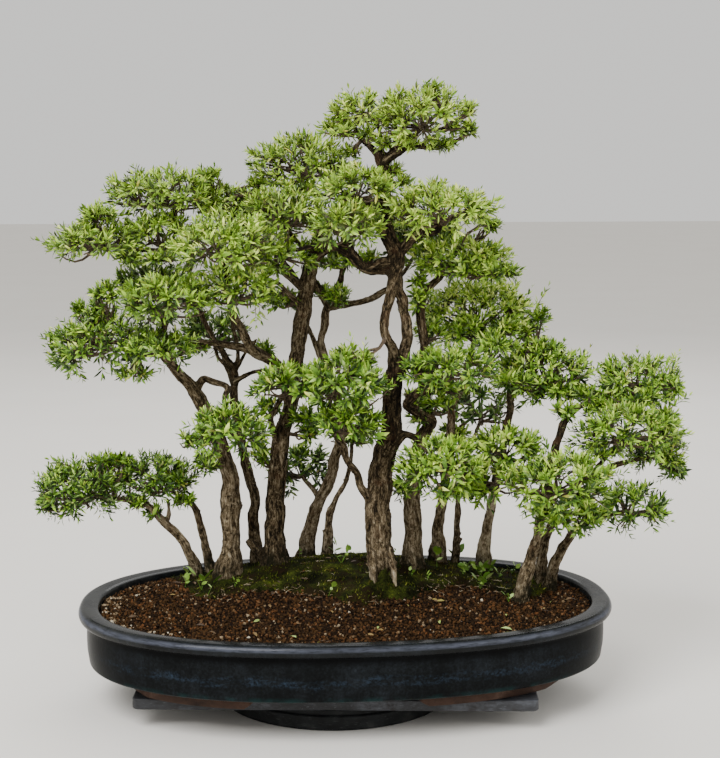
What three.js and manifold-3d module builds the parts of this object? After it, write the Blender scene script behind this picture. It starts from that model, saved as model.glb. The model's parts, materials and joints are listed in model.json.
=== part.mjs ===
// Serissa bonsai: a group planting of fifteen trees in a glazed oval pot,
// standing on a board and a low round turntable.
// Millimetres, +Z up. The origin is on the surface that the turntable stands on,
// under the middle of the pot. +X runs along the pot's long axis, +Y to the back.

import * as THREE from 'three'
import { mergeVertices } from 'three/addons/utils/BufferGeometryUtils.js'
import Module from 'manifold-3d'

const wasm = await Module()
wasm.setup()

// Driving dimensions
const potLength = 766
const potDepth = 490
const potSquareness = 2.3
const gap = 0.35

const discRadius = 165
const discThickness = 28.5
const discCentreX = -17

const boardLength = 552
const boardDepth = 330
const boardThickness = 15.5
const boardCentreX = -12
const boardCorner = 10
const boardTurn = -6

const footHeight = 17
const footInset = 34
const footWidth = 32
const floorThickness = 11
const wallHeight = 81
const lipWidth = 30
const wallThickness = 20
const coveWidth = 24
const drainRadius = 13
const drainX = 190
const screenRadius = 21
const screenThickness = 1.6

const soilDrop = 10
const moundHeight = 42
const moundCentre = [10, 95]
const moundReach = [240, 150]
const moundFall = 1.2
const rippleHeight = 1.2
const rippleLength = 31
const rippleWidth = 23
const rootDepth = 42
const finest = 0.06

const coreShare = 0.88
const coreGap = 0.56
const leafLength = 47
const leafWidth = 20
const leafThickness = 2.4
const areaPerLeaf = 3700
const leafRootShare = 0.2
const leastRootVolume = 1
const sprayRadius = 5
const goldenAngle = Math.PI * (3 - Math.sqrt(5))

// Levels that follow from them
const boardBottom = discThickness + gap
const footBottom = boardBottom + boardThickness + gap
const floorBottom = footBottom + footHeight
const floorTop = floorBottom + floorThickness
const rimTop = floorBottom + wallHeight
const soilEdge = rimTop - soilDrop

// Finishes
const finishes = {
  glaze: { color: 0x10161f, roughness: 0.28, metalness: 0 },
  soil: { color: 0x5a3424, roughness: 0.95, metalness: 0 },
  screen: { color: 0x2b2d2c, roughness: 0.7, metalness: 0 },
  board: { color: 0x8b9096, roughness: 0.55, metalness: 0.6 },
  turntable: { color: 0x26282b, roughness: 0.6, metalness: 0.3 },
  bark: { color: 0x7d6b58, roughness: 0.9, metalness: 0 },
  darkBark: { color: 0x3f352b, roughness: 0.92, metalness: 0 },
  leaf: { color: 0x7fa13c, roughness: 0.55, metalness: 0 },
  shadeLeaf: { color: 0x55762c, roughness: 0.6, metalness: 0 },
  weed: { color: 0x6f9a3a, roughness: 0.5, metalness: 0 },
}

// A repeatable stream of numbers from 0 to 1
function seeded(seed) {
  let state = seed * 2654435761 >>> 0
  return () => {
    state = (state + 0x6d2b79f5) >>> 0
    let mixed = Math.imul(state ^ (state >>> 15), 1 | state)
    mixed = (mixed + Math.imul(mixed ^ (mixed >>> 7), 61 | mixed)) ^ mixed
    return ((mixed ^ (mixed >>> 14)) >>> 0) / 4294967296
  }
}

function vector(x, y, z) {
  return new THREE.Vector3(x, y, z)
}

// Solids from points and triangles, from geometries, and back to geometries
function solidFrom(points, faces) {
  let volume = 0
  for (const [a, b, c] of faces) {
    volume += points[a].dot(points[b].clone().cross(points[c]))
  }
  const outward = volume > 0 ? faces : faces.map(([a, b, c]) => [a, c, b])
  const vertProperties = Float32Array.from(points.flatMap((p) => [p.x, p.y, p.z]))
  const triVerts = Uint32Array.from(outward.flat())
  return new wasm.Manifold(new wasm.Mesh({ numProp: 3, vertProperties, triVerts }))
}

function solidOf(geometry) {
  geometry.deleteAttribute('normal')
  geometry.deleteAttribute('uv')
  const merged = mergeVertices(geometry, 1e-4)
  const place = merged.getAttribute('position')
  const points = []
  for (let i = 0; i < place.count; i++) {
    points.push(vector(place.getX(i), place.getY(i), place.getZ(i)))
  }
  const faces = []
  for (let i = 0; i < merged.index.count; i += 3) {
    faces.push([0, 1, 2].map((k) => merged.index.getX(i + k)))
  }
  return solidFrom(points, faces.filter(([a, b, c]) => a !== b && b !== c && a !== c))
}

function geometryOf(solid) {
  const mesh = solid.getMesh()
  const geometry = new THREE.BufferGeometry()
  const place = new Float32Array((mesh.vertProperties.length / mesh.numProp) * 3)
  for (let i = 0; i < place.length / 3; i++) {
    for (let k = 0; k < 3; k++) {
      place[i * 3 + k] = mesh.vertProperties[i * mesh.numProp + k]
    }
  }
  geometry.setAttribute('position', new THREE.BufferAttribute(place, 3))
  geometry.setIndex(new THREE.BufferAttribute(Uint32Array.from(mesh.triVerts), 1))
  geometry.computeVertexNormals()
  return geometry
}

function union(solids) {
  return solids.reduce((whole, next) => whole.add(next))
}

// Rings of equally many points joined into a closed skin with flat or pointed ends
function loft(rings) {
  const count = rings[0].length
  const points = rings.flat()
  const faces = []
  for (let r = 0; r < rings.length - 1; r++) {
    for (let i = 0; i < count; i++) {
      const next = (i + 1) % count
      const a = r * count + i
      const b = r * count + next
      faces.push([a, b, b + count], [a, b + count, a + count])
    }
  }
  const last = (rings.length - 1) * count
  for (let i = 1; i < count - 1; i++) {
    faces.push([0, i + 1, i], [last, last + i, last + i + 1])
  }
  return solidFrom(points, faces)
}

// Pot: a rounded oval outline drawn in by an inset
function ovalPoint(angle, inset, z) {
  const c = Math.cos(angle)
  const s = Math.sin(angle)
  const power = 2 / potSquareness
  const x = (potLength / 2 - inset) * Math.sign(c) * Math.abs(c) ** power
  const y = (potDepth / 2 - inset) * Math.sign(s) * Math.abs(s) ** power
  return vector(x, y, z)
}

function ovalRing(inset, z, count = 32) {
  const step = (2 * Math.PI) / count
  return Array.from({ length: count }, (_, i) => ovalPoint((i + 0.5) * step, inset, z))
}

// 0 at the middle of the oval, 1 on its outline at that inset
function ovalShare(x, y, inset) {
  const along = Math.abs(x / (potLength / 2 - inset)) ** potSquareness
  const across = Math.abs(y / (potDepth / 2 - inset)) ** potSquareness
  return (along + across) ** (1 / potSquareness)
}

// The oval's angle where it passes a given X, in the front or back half
function ovalAngle(x, half) {
  const c = Math.sign(x) * (Math.abs(x) / (potLength / 2)) ** (potSquareness / 2)
  return half * Math.acos(c)
}

// A foot follows the outline from its inner end to its outer end and tapers at both
function footArc(innerX, outerX, half) {
  const stations = [[0, 0.6], [0.05, 1], [0.35, 1], [0.62, 1], [0.84, 0.95], [1, 0.3]]
  const rings = stations.map(([share, height]) => {
    const angle = ovalAngle(innerX + (outerX - innerX) * share, half)
    const bottom = floorBottom - footHeight * height
    return [
      ovalPoint(angle, footInset + 3, bottom),
      ovalPoint(angle, footInset, floorBottom + 2),
      ovalPoint(angle, footInset + footWidth, floorBottom + 2),
      ovalPoint(angle, footInset + footWidth, bottom),
    ]
  })
  return loft(rings)
}

function roundPlate(radius, bottom, top, x, y, sides) {
  const plate = new THREE.CylinderGeometry(radius, radius, top - bottom, sides)
  plate.rotateX(Math.PI / 2)
  plate.translate(x, y, (bottom + top) / 2)
  return solidOf(plate)
}

function makePot() {
  const outside = loft([
    ovalRing(26, floorBottom),
    ovalRing(15, floorBottom + 3),
    ovalRing(12, floorBottom + 24),
    ovalRing(13, rimTop - 19),
    ovalRing(4, rimTop - 15),
    ovalRing(0, rimTop - 9),
    ovalRing(3, rimTop - 2),
    ovalRing(9, rimTop),
    ovalRing(lipWidth - 2, rimTop - 1),
  ])
  const inside = loft([
    ovalRing(wallThickness + coveWidth, floorTop),
    ovalRing(wallThickness + coveWidth - 10, floorTop + 12),
    ovalRing(lipWidth, rimTop - 16),
    ovalRing(lipWidth, rimTop + 5),
  ])
  const feet = []
  for (const half of [-1, 1]) {
    feet.push(footArc(-160, -344, half), footArc(92, 330, half))
  }
  const drains = [-drainX, drainX].map((x) => roundPlate(drainRadius, floorBottom - 1, floorTop + 1, x, 0, 12))
  return outside.subtract(inside).add(union(feet)).subtract(union(drains))
}

function makeScreen(x) {
  const bottom = floorTop + gap
  const plate = roundPlate(screenRadius, bottom, bottom + screenThickness, x, 0, 12)
  const holes = []
  for (const i of [-1, 1]) {
    for (const j of [-1, 1]) {
      const hole = new THREE.BoxGeometry(8, 8, screenThickness * 3)
      hole.translate(x + i * 6, j * 6, bottom)
      holes.push(solidOf(hole))
    }
  }
  return plate.subtract(union(holes))
}

function makeBoard() {
  const x = boardLength / 2 - boardCorner
  const y = boardDepth / 2 - boardCorner
  const outline = new THREE.Shape()
  outline.absarc(x, y, boardCorner, 0, Math.PI / 2)
  outline.absarc(-x, y, boardCorner, Math.PI / 2, Math.PI)
  outline.absarc(-x, -y, boardCorner, Math.PI, 1.5 * Math.PI)
  outline.absarc(x, -y, boardCorner, 1.5 * Math.PI, 2 * Math.PI)
  const edge = 2
  const board = new THREE.ExtrudeGeometry(outline, {
    depth: boardThickness - 2 * edge,
    bevelThickness: edge,
    bevelSize: edge,
    bevelOffset: -edge,
    bevelSegments: 1,
    curveSegments: 2,
  })
  board.rotateZ(THREE.MathUtils.degToRad(boardTurn))
  board.translate(boardCentreX, 0, boardBottom + edge)
  return solidOf(board)
}

function makeDisc() {
  const profile = [
    [0, 0],
    [discRadius - 3, 0],
    [discRadius, 3],
    [discRadius, discThickness - 8],
    [discRadius - 4, discThickness - 7],
    [discRadius - 4, discThickness],
    [0, discThickness],
  ].map(([x, y]) => new THREE.Vector2(x, y))
  const disc = new THREE.LatheGeometry(profile, 32)
  disc.rotateX(Math.PI / 2)
  disc.translate(discCentreX, 0, 0)
  return solidOf(disc)
}

// Soil: flat at the rim, with a mossy mound under the trees
function soilHeight(x, y) {
  const along = (x - moundCentre[0]) / moundReach[0]
  const across = (y - moundCentre[1]) / moundReach[1]
  const edge = 1 - ovalShare(x, y, lipWidth) ** 6
  const mound = moundHeight * Math.exp(-moundFall * (along ** 2 + across ** 2))
  const ripple = rippleHeight * Math.sin(x / rippleLength) * Math.cos(y / rippleWidth)
  return soilEdge + (mound + ripple) * Math.max(edge, 0)
}

function makeSoil() {
  const shares = [0.92, 0.7, 0.4]
  const wall = lipWidth + 2 * gap
  const bottom = floorTop + screenThickness + 2 * gap
  const rings = [
    ovalRing(wallThickness + coveWidth + 1.5, bottom),
    ovalRing(wallThickness + coveWidth - 8.5, bottom + 10),
    ovalRing(wall, rimTop - 16),
    ovalRing(wall, soilEdge),
  ]
  for (const share of shares) {
    const ring = ovalRing(wall, 0)
    rings.push(ring.map((p) => vector(p.x * share, p.y * share, soilHeight(p.x * share, p.y * share))))
  }
  return loft(rings)
}

// Wood: tubes along routes of [x, y, z, radius]; grow makes the same wood a little fatter
function tube(route, sides, grow = 0) {
  const places = route.map(([x, y, z]) => vector(x, y, z))
  const tangents = places.map((_, i) => {
    const before = places[Math.max(i - 1, 0)]
    const after = places[Math.min(i + 1, places.length - 1)]
    return after.clone().sub(before).normalize()
  })
  let side = vector(0.31, 0.95, 0).cross(tangents[0]).normalize()
  const rings = places.map((place, i) => {
    side = side.addScaledVector(tangents[i], -side.dot(tangents[i])).normalize()
    const other = tangents[i].clone().cross(side)
    const end = i === 0 ? -grow : i === places.length - 1 ? grow : 0
    const radius = route[i][3] + grow / Math.cos(Math.PI / sides)
    return Array.from({ length: sides }, (_, k) => {
      const angle = (2 * Math.PI * k) / sides
      return place.clone()
        .addScaledVector(tangents[i], end)
        .addScaledVector(side, radius * Math.cos(angle))
        .addScaledVector(other, radius * Math.sin(angle))
    })
  })
  return loft(rings)
}

// Surface roots run out from the foot of a trunk and dip into the soil
function rootRoutes([x, y, z, radius], count, turn) {
  const routes = []
  for (let i = 0; i < count; i++) {
    const angle = turn + (2 * Math.PI * i) / count + 0.35 * Math.sin(5 * i + turn)
    const reach = radius * (2.2 + 0.5 * Math.sin(3 * i + 2 * turn))
    const at = (share, height, thickness) => [
      x + Math.cos(angle) * reach * share,
      y + Math.sin(angle) * reach * share,
      z + height,
      radius * thickness,
    ]
    routes.push([at(0.15, 22, 0.42), at(0.5, 1, 0.34), at(1, -22, 0.14)])
  }
  return routes
}

// Every tree: its finish, surface roots, and routes whose first one is the trunk
const trees = {
  tree_far_left: {
    finish: 'bark', roots: 0,
    routes: [
      [[-216, 130, 150, 9], [-230, 130, 186, 7], [-243, 130, 207, 7], [-261, 128, 224, 6.5],
        [-284, 124, 252, 5.5], [-299, 122, 261, 5], [-328, 120, 266, 4], [-362, 120, 271, 3]],
      [[-261, 128, 224, 4], [-256, 131, 240, 3.5], [-258, 133, 262, 2.6]],
    ],
  },
  tree_left_upright: {
    finish: 'darkBark', roots: 0,
    routes: [
      [[-195, 137, 150, 8], [-203, 137, 189, 6.5], [-210, 137, 220, 6], [-217, 136, 246, 5],
        [-232, 136, 260, 4.5], [-252, 136, 272, 3]],
    ],
  },
  tree_left_major: {
    finish: 'bark', roots: 3,
    routes: [
      [[-169, 80, 155, 19], [-167, 80, 185, 16], [-167, 80, 209, 15], [-166, 80, 240, 15],
        [-164, 80, 262, 15.5], [-165, 80, 285, 13.5], [-165, 80, 307, 12.5], [-177, 80, 348, 11.5],
        [-193, 80, 389, 11], [-207, 80, 419, 10.5], [-223, 78, 443, 9], [-242, 72, 466, 8],
        [-257, 62, 486, 7], [-271, 50, 500, 6], [-295, 48, 506, 5], [-322, 48, 508, 4],
        [-347, 50, 512, 3]],
      [[-242, 72, 466, 6], [-250, 50, 500, 5], [-256, 25, 530, 4.5], [-254, 8, 556, 3]],
      [[-213, 80, 430, 6.5], [-203, 78, 450, 5.5], [-185, 72, 446, 5], [-168, 60, 440, 4.5],
        [-172, 35, 424, 4], [-166, 8, 404, 3]],
    ],
  },
  tree_left_slender: {
    finish: 'darkBark', roots: 0,
    routes: [
      [[-124, 122, 155, 10], [-131, 122, 230, 8.5], [-126, 122, 260, 8], [-132, 122, 283, 8],
        [-140, 122, 314, 7.5], [-145, 124, 337, 7], [-152, 127, 374, 7], [-156, 132, 405, 6.5],
        [-157, 134, 454, 6], [-170, 124, 478, 5.5], [-195, 117, 520, 5], [-215, 113, 580, 5],
        [-225, 110, 640, 4.5], [-242, 110, 700, 3]],
      [[-157, 134, 454, 5], [-150, 140, 480, 4.5], [-158, 150, 530, 4.5], [-168, 150, 610, 4],
        [-168, 134, 694, 3]],
      [[-156, 133, 430, 4.5], [-170, 160, 468, 4], [-183, 186, 494, 3]],
      [[-225, 110, 638, 4], [-262, 100, 636, 3.5], [-302, 88, 638, 3.5], [-345, 80, 647, 3]],
      [[-205, 115, 550, 4], [-235, 132, 562, 3.5], [-262, 146, 571, 3]],
    ],
  },
  tree_left_centre: {
    finish: 'darkBark', roots: 0,
    routes: [
      [[-96, 92, 155, 22], [-98, 94, 185, 17], [-99, 95, 219, 15], [-98, 95, 265, 14.5],
        [-95, 95, 303, 14], [-91, 92, 340, 13.5], [-86, 90, 372, 12], [-72, 95, 410, 9.5],
        [-69, 95, 456, 9], [-65, 97, 489, 8.5], [-56, 98, 533, 8], [-50, 98, 562, 8],
        [-42, 98, 606, 7.5], [-38, 98, 632, 7], [-31, 100, 670, 6], [-33, 104, 705, 5],
        [-46, 108, 740, 3.5]],
      [[-86, 90, 367, 9.5], [-80, 84, 400, 9], [-78, 82, 432, 8.5], [-87, 78, 460, 8],
        [-107, 70, 479, 8], [-126, 60, 490, 7.5], [-140, 45, 512, 7], [-148, 30, 530, 6.5],
        [-159, 12, 552, 6], [-167, -4, 590, 5], [-170, -14, 630, 3.5]],
      [[-38, 98, 634, 5], [-58, 85, 642, 4.5], [-80, 66, 668, 3]],
      [[-92, 92, 345, 6.5], [-104, 62, 384, 5], [-100, 30, 414, 4], [-80, 2, 440, 3]],
      [[-50, 98, 570, 5], [-72, 130, 602, 4.5], [-96, 165, 638, 3.5], [-106, 184, 656, 3]],
    ],
  },
  tree_back_left: {
    finish: 'bark', roots: 0,
    routes: [
      [[-50, 165, 155, 13], [-39, 165, 217, 10], [-27, 165, 248, 9.5], [-12, 165, 279, 9],
        [-4, 163, 310, 8.5], [4, 160, 341, 8], [7, 155, 364, 8], [0, 150, 400, 7.5],
        [-12, 145, 440, 7], [-24, 140, 480, 6.5], [-28, 138, 502, 6], [-24, 137, 525, 6],
        [-19, 135, 548, 5.5], [-10, 130, 590, 4.5], [5, 122, 630, 4], [19, 106, 674, 3]],
      [[-19, 135, 546, 5], [4, 126, 551, 4.5], [34, 112, 558, 4.5], [62, 98, 572, 4],
        [88, 104, 594, 3.5], [118, 140, 628, 3]],
      [[-27, 165, 248, 5], [-38, 182, 264, 4], [-53, 204, 280, 3]],
    ],
  },
  tree_back_thin: {
    finish: 'bark', roots: 0,
    routes: [
      [[-17, 142, 155, 6.5], [-15, 140, 200, 5], [-14, 139, 232, 5], [-6, 137, 252, 4.5],
        [8, 140, 276, 4], [19, 155, 308, 3.5], [24, 188, 334, 3]],
    ],
  },
  tree_main: {
    finish: 'bark', roots: 4,
    routes: [
      [[52, 4, 160, 23], [50, 5, 190, 21], [48, 6, 222, 20], [46, 8, 266, 19], [49, 10, 310, 18],
        [55, 10, 346, 17], [66, 12, 383, 15], [66, 14, 426, 13.5], [70, 15, 462, 12],
        [73, 15, 491, 11], [66, 7, 507, 8.5], [56, 0, 528, 8], [57, 5, 556, 8], [64, 12, 585, 8.5],
        [70, 16, 607, 10], [73, 18, 622, 12.5], [70, 18, 640, 12], [60, 16, 661, 11],
        [53, 14, 689, 10], [56, 14, 717, 9.5], [60, 15, 745, 8], [50, 15, 762, 7], [42, 18, 778, 5.5],
        [22, 26, 796, 4], [14, 30, 814, 3]],
      [[73, 15, 486, 9], [84, 22, 506, 7.5], [87, 26, 534, 7], [80, 24, 562, 7], [74, 20, 590, 8],
        [73, 18, 618, 9]],
      [[50, 13, 760, 5.5], [65, 10, 773, 5], [84, 6, 785, 4.5], [106, 0, 808, 3]],
      [[74, 18, 630, 8], [84, 15, 644, 7.5], [102, 10, 661, 7], [127, 5, 668, 5.5],
        [140, 2, 688, 3.5]],
      [[66, 16, 624, 7], [49, 5, 624, 6], [27, -10, 618, 5.5], [9, -25, 634, 5],
        [-2, -36, 660, 3.5]],
      [[54, 14, 690, 5], [38, 4, 700, 4], [20, -6, 714, 3]],
      [[44, 6, 268, 8], [29, 0, 296, 6], [16, -5, 318, 5.5], [0, -15, 347, 5], [-8, -32, 385, 4.5],
        [-8, -52, 428, 3.5]],
      [[62, 12, 368, 8], [82, 0, 380, 6], [97, -20, 376, 5], [112, -42, 366, 4],
        [122, -54, 354, 3]],
    ],
  },
  tree_right_centre: {
    finish: 'bark', roots: 0,
    routes: [
      [[103, 64, 160, 17], [104, 65, 200, 14], [104, 65, 237, 13.5], [102, 65, 268, 13],
        [107, 65, 313, 12], [114, 62, 357, 10.5], [126, 58, 382, 9.5], [121, 58, 417, 9],
        [118, 60, 461, 8], [118, 60, 505, 7.5], [113, 62, 549, 7], [120, 65, 575, 6.5],
        [135, 68, 590, 6], [156, 70, 612, 3.5]],
      [[122, 60, 372, 7], [132, 38, 394, 5.5], [112, 26, 404, 5.5], [94, 10, 416, 5],
        [98, -6, 434, 5], [114, -22, 448, 4.5], [134, -36, 468, 3]],
    ],
  },
  tree_back_right: {
    finish: 'darkBark', roots: 0,
    routes: [
      [[146, 107, 155, 11], [147, 107, 212, 8.5], [153, 108, 250, 8], [160, 110, 288, 7.5],
        [165, 115, 330, 7], [168, 122, 364, 6.5], [171, 128, 395, 6], [182, 135, 417, 5.5],
        [191, 140, 440, 5], [200, 145, 470, 4.5], [210, 150, 504, 3]],
      [[167, 120, 350, 4], [188, 146, 362, 3.5], [212, 170, 376, 2.8]],
    ],
  },
  tree_thin_right: {
    finish: 'darkBark', roots: 0,
    routes: [
      [[178, 128, 150, 6.5], [180, 130, 223, 5], [182, 132, 262, 4.5], [190, 140, 295, 4],
        [204, 156, 330, 3.5], [222, 176, 366, 2.8]],
    ],
  },
  tree_right: {
    finish: 'darkBark', roots: 0,
    routes: [
      [[215, 100, 148, 10], [219, 100, 211, 8], [225, 100, 240, 7.5], [235, 100, 303, 7],
        [243, 100, 364, 6], [251, 102, 402, 5.5], [258, 104, 424, 5], [288, 109, 448, 3]],
      [[232, 100, 280, 4.5], [228, 70, 302, 4], [222, 42, 318, 4], [230, 16, 340, 3]],
      [[223, 46, 316, 3.5], [216, 14, 308, 3], [212, -8, 306, 2.6]],
    ],
  },
  tree_right_front: {
    finish: 'bark', roots: 0,
    routes: [
      [[250, -26, 140, 12], [259, -22, 192, 9], [266, -20, 217, 8], [277, -20, 246, 7.5],
        [283, -14, 285, 7], [290, 0, 326, 6.5], [298, 12, 363, 6], [308, 26, 384, 5.5],
        [324, 46, 402, 5], [360, 66, 414, 4.5], [402, 80, 422, 4], [440, 88, 430, 3]],
      [[277, -20, 248, 5.5], [285, -40, 275, 4.5], [293, -62, 302, 3]],
    ],
  },
  tree_far_right_back: {
    finish: 'bark', roots: 0,
    routes: [
      [[296, 62, 145, 9], [301, 61, 197, 7], [309, 59, 223, 6.5], [322, 58, 250, 6],
        [340, 58, 278, 5.5], [368, 60, 300, 5], [398, 64, 312, 4.5], [430, 68, 320, 4],
        [466, 70, 328, 3]],
      [[368, 60, 300, 4.5], [386, 42, 330, 4], [404, 24, 360, 3]],
    ],
  },
  tree_far_right_front: {
    finish: 'bark', roots: 0,
    routes: [
      [[306, 28, 140, 9], [318, 26, 191, 7.5], [329, 22, 213, 7], [342, 17, 234, 6], [370, 8, 248, 5],
        [408, -6, 262, 3]],
    ],
  },
}

function trunkAndLimbs({ routes, roots }, grow = 0) {
  const [foot] = routes[0]
  const below = [foot[0], foot[1], foot[2] - rootDepth, foot[3] * 0.8]
  const trunk = [below, ...routes[0]]
  const trunkSides = foot[3] > 18 ? 8 : foot[3] > 12 ? 6 : 5
  const parts = [tube(trunk, trunkSides, grow)]
  for (const route of routes.slice(1)) {
    parts.push(tube(route, route[0][3] > 6 ? 5 : 4, grow))
  }
  for (const route of rootRoutes(foot, roots, foot[0])) {
    parts.push(tube(route, 4, grow))
  }
  return union(parts)
}

// Foliage: rounded clouds of [x, y, z, half width, half depth, half height]
const clouds = {
  apex_leaves: {
    finish: 'leaf',
    lobes: [[32, 28, 822, 58, 48, 34], [108, 0, 816, 74, 58, 47], [-6, 26, 797, 34, 30, 20]],
  },
  upper_right_leaves: { finish: 'leaf', lobes: [[130, 0, 699, 80, 66, 44]] },
  upper_left_leaves: { finish: 'leaf', lobes: [[-5, -42, 679, 54, 48, 38], [12, -12, 725, 56, 46, 38]] },
  upper_back_leaves: { finish: 'shadeLeaf', lobes: [[22, 106, 681, 50, 42, 32]] },
  crown_left_top_leaves: { finish: 'leaf', lobes: [[-54, 110, 757, 82, 62, 48]] },
  crown_left_leaves: { finish: 'leaf', lobes: [[-84, 52, 687, 70, 48, 42], [-90, 58, 622, 50, 42, 40]] },
  crown_left_back_leaves: { finish: 'shadeLeaf', lobes: [[-108, 192, 673, 74, 52, 40]] },
  crown_right_back_leaves: { finish: 'shadeLeaf', lobes: [[128, 158, 647, 72, 55, 38]] },
  left_top_leaves: {
    finish: 'leaf',
    lobes: [[-256, 112, 719, 86, 62, 42], [-168, 134, 705, 50, 44, 32], [-262, 108, 664, 64, 50, 34]],
  },
  left_wing_leaves: { finish: 'leaf', lobes: [[-356, 80, 649, 80, 56, 36]] },
  left_front_leaves: { finish: 'leaf', lobes: [[-170, -22, 649, 78, 60, 50], [-150, -2, 586, 62, 48, 44]] },
  left_middle_leaves: { finish: 'leaf', lobes: [[-252, -2, 573, 72, 54, 40]] },
  left_low_leaves: { finish: 'leaf', lobes: [[-344, 54, 511, 82, 60, 50], [-262, 18, 509, 56, 48, 32]] },
  left_back_leaves: { finish: 'shadeLeaf', lobes: [[-184, 192, 503, 56, 46, 36]] },
  left_behind_leaves: { finish: 'shadeLeaf', lobes: [[-274, 156, 581, 64, 46, 32]] },
  right_upper_leaves: { finish: 'leaf', lobes: [[170, 70, 627, 88, 58, 36]] },
  right_back_leaves: { finish: 'leaf', lobes: [[216, 152, 527, 98, 62, 60]] },
  right_middle_leaves: { finish: 'leaf', lobes: [[142, -38, 477, 72, 50, 36]] },
  right_shoulder_leaves: { finish: 'leaf', lobes: [[304, 112, 453, 80, 60, 50]] },
  far_right_top_leaves: { finish: 'leaf', lobes: [[448, 94, 439, 76, 58, 44]] },
  far_right_leaves: { finish: 'leaf', lobes: [[409, 14, 375, 86, 48, 46]] },
  far_right_tip_leaves: { finish: 'leaf', lobes: [[480, 76, 331, 50, 50, 42]] },
  right_front_leaves: { finish: 'leaf', lobes: [[295, -74, 315, 80, 60, 52], [312, -50, 262, 56, 44, 34]] },
  far_right_low_leaves: { finish: 'leaf', lobes: [[420, -10, 269, 58, 50, 44]] },
  centre_left_leaves: { finish: 'leaf', lobes: [[-76, 0, 451, 60, 44, 32]] },
  centre_leaves: { finish: 'leaf', lobes: [[-6, -62, 457, 58, 46, 48], [0, -56, 402, 50, 38, 34]] },
  left_inner_leaves: { finish: 'leaf', lobes: [[-170, -8, 387, 66, 54, 46]] },
  low_back_leaves: { finish: 'shadeLeaf', lobes: [[-55, 208, 287, 58, 40, 42], [24, 200, 341, 46, 36, 24]] },
  low_left_leaves: { finish: 'leaf', lobes: [[-274, 136, 289, 66, 54, 40]] },
  low_far_left_leaves: { finish: 'leaf', lobes: [[-388, 120, 277, 74, 58, 48]] },
  right_inner_leaves: { finish: 'leaf', lobes: [[128, -62, 343, 62, 50, 52]] },
  right_low_leaves: { finish: 'leaf', lobes: [[232, 8, 351, 56, 48, 38], [212, -18, 306, 48, 40, 36]] },
  right_inner_back_leaves: { finish: 'shadeLeaf', lobes: [[222, 182, 385, 60, 46, 38]] },
}

// How far a lobe's crumpled core reaches in a direction
function coreReach([x, y, z], direction) {
  const sideways = Math.sin(4.1 * direction.x + x) * Math.sin(3.7 * direction.y + y)
  const upright = Math.sin(5.3 * direction.z + z)
  return coreShare * (1 + 0.11 * (sideways + upright))
}

function lobeCore(lobe, grow = 0) {
  const [x, y, z, rx, ry, rz] = lobe
  const core = new THREE.IcosahedronGeometry(1, 0)
  core.rotateX(x)
  core.rotateZ(z)
  const place = core.getAttribute('position')
  for (let i = 0; i < place.count; i++) {
    const d = vector(place.getX(i), place.getY(i), place.getZ(i)).normalize()
    const reach = coreReach(lobe, d)
    const flat = d.z < 0 ? 0.92 : 1
    place.setXYZ(
      i,
      x + d.x * (rx * reach + grow),
      y + d.y * (ry * reach + grow),
      z + d.z * (rz * reach * flat + grow),
    )
  }
  return solidOf(core)
}

// A cloud's core: its lobes, each joined to the first by a spray of twigs
function cloudCore({ lobes }, grow = 0) {
  const [first, ...others] = lobes
  const sprays = others.map((lobe) => {
    const route = [first, lobe].map(([x, y, z]) => [x, y, z, sprayRadius])
    return tube(route, 4, grow)
  })
  return union([...lobes.map((lobe) => lobeCore(lobe, grow)), ...sprays])
}

// A pointed blade: root, tip and two sides in one plane, with a ridge above them
function blade(root, along, across, length, width, thickness, grow = 0) {
  const lift = along.clone().cross(across).normalize()
  const middle = root.clone().addScaledVector(along, length * 0.5)
  const points = [
    root.clone().addScaledVector(along, -grow),
    root.clone().addScaledVector(along, length + 3 * grow),
    middle.clone().addScaledVector(across, width / 2 + 2 * grow),
    middle.clone().addScaledVector(across, -width / 2 - 2 * grow),
    middle.clone().addScaledVector(lift, thickness + 2 * grow),
  ]
  points.forEach((point) => point.addScaledVector(lift, -grow))
  const faces = [[0, 2, 4], [0, 4, 3], [1, 4, 2], [1, 3, 4], [0, 3, 1], [0, 1, 2]]
  return solidFrom(points, faces)
}

// The leaves of one lobe: blades that start just inside its core and fan out over it
function leafBlades(lobe, random) {
  const [x, y, z, rx, ry, rz] = lobe
  const spread = Math.cbrt(rx * ry * rz)
  const count = Math.round((4 * Math.PI * spread ** 2) / areaPerLeaf)
  const blades = []
  for (let i = 0; i < count; i++) {
    const height = 0.95 - (1.7 * (i + 0.3)) / count
    const turn = i * goldenAngle + x
    const flat = Math.sqrt(1 - height ** 2)
    const d = vector(flat * Math.cos(turn), flat * Math.sin(turn), height)
    const reach = coreReach(lobe, d) * 0.8
    const start = vector(x + d.x * rx * reach, y + d.y * ry * reach, z + d.z * rz * reach)
    const outward = vector(d.x / rx, d.y / ry, d.z / rz).normalize()
    const side = vector(-outward.y, outward.x, 0.05).normalize()
    const rise = outward.clone().cross(side).normalize()
    const swing = 2 * Math.PI * random()
    const along = outward.clone().multiplyScalar(0.85)
      .addScaledVector(side, Math.cos(swing))
      .addScaledVector(rise, Math.sin(swing))
      .addScaledVector(vector(0, 0, 1), 0.25)
      .normalize()
    const length = leafLength * (0.85 + 0.3 * random())
    const root = start.addScaledVector(along, -leafRootShare * length)
    const across = along.clone().cross(outward).normalize()
    blades.push({ root, along, across, length, width: leafWidth * (0.85 + 0.3 * random()) })
  }
  return blades
}

function largestBody(solid) {
  const bodies = solid.simplify(finest).decompose()
  return bodies.reduce((best, next) => (next.volume() > best.volume() ? next : best))
}

function boxesMeet(a, b) {
  const first = a.boundingBox()
  const second = b.boundingBox()
  return [0, 1, 2].every((k) => first.min[k] < second.max[k] && second.min[k] < first.max[k])
}

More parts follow.
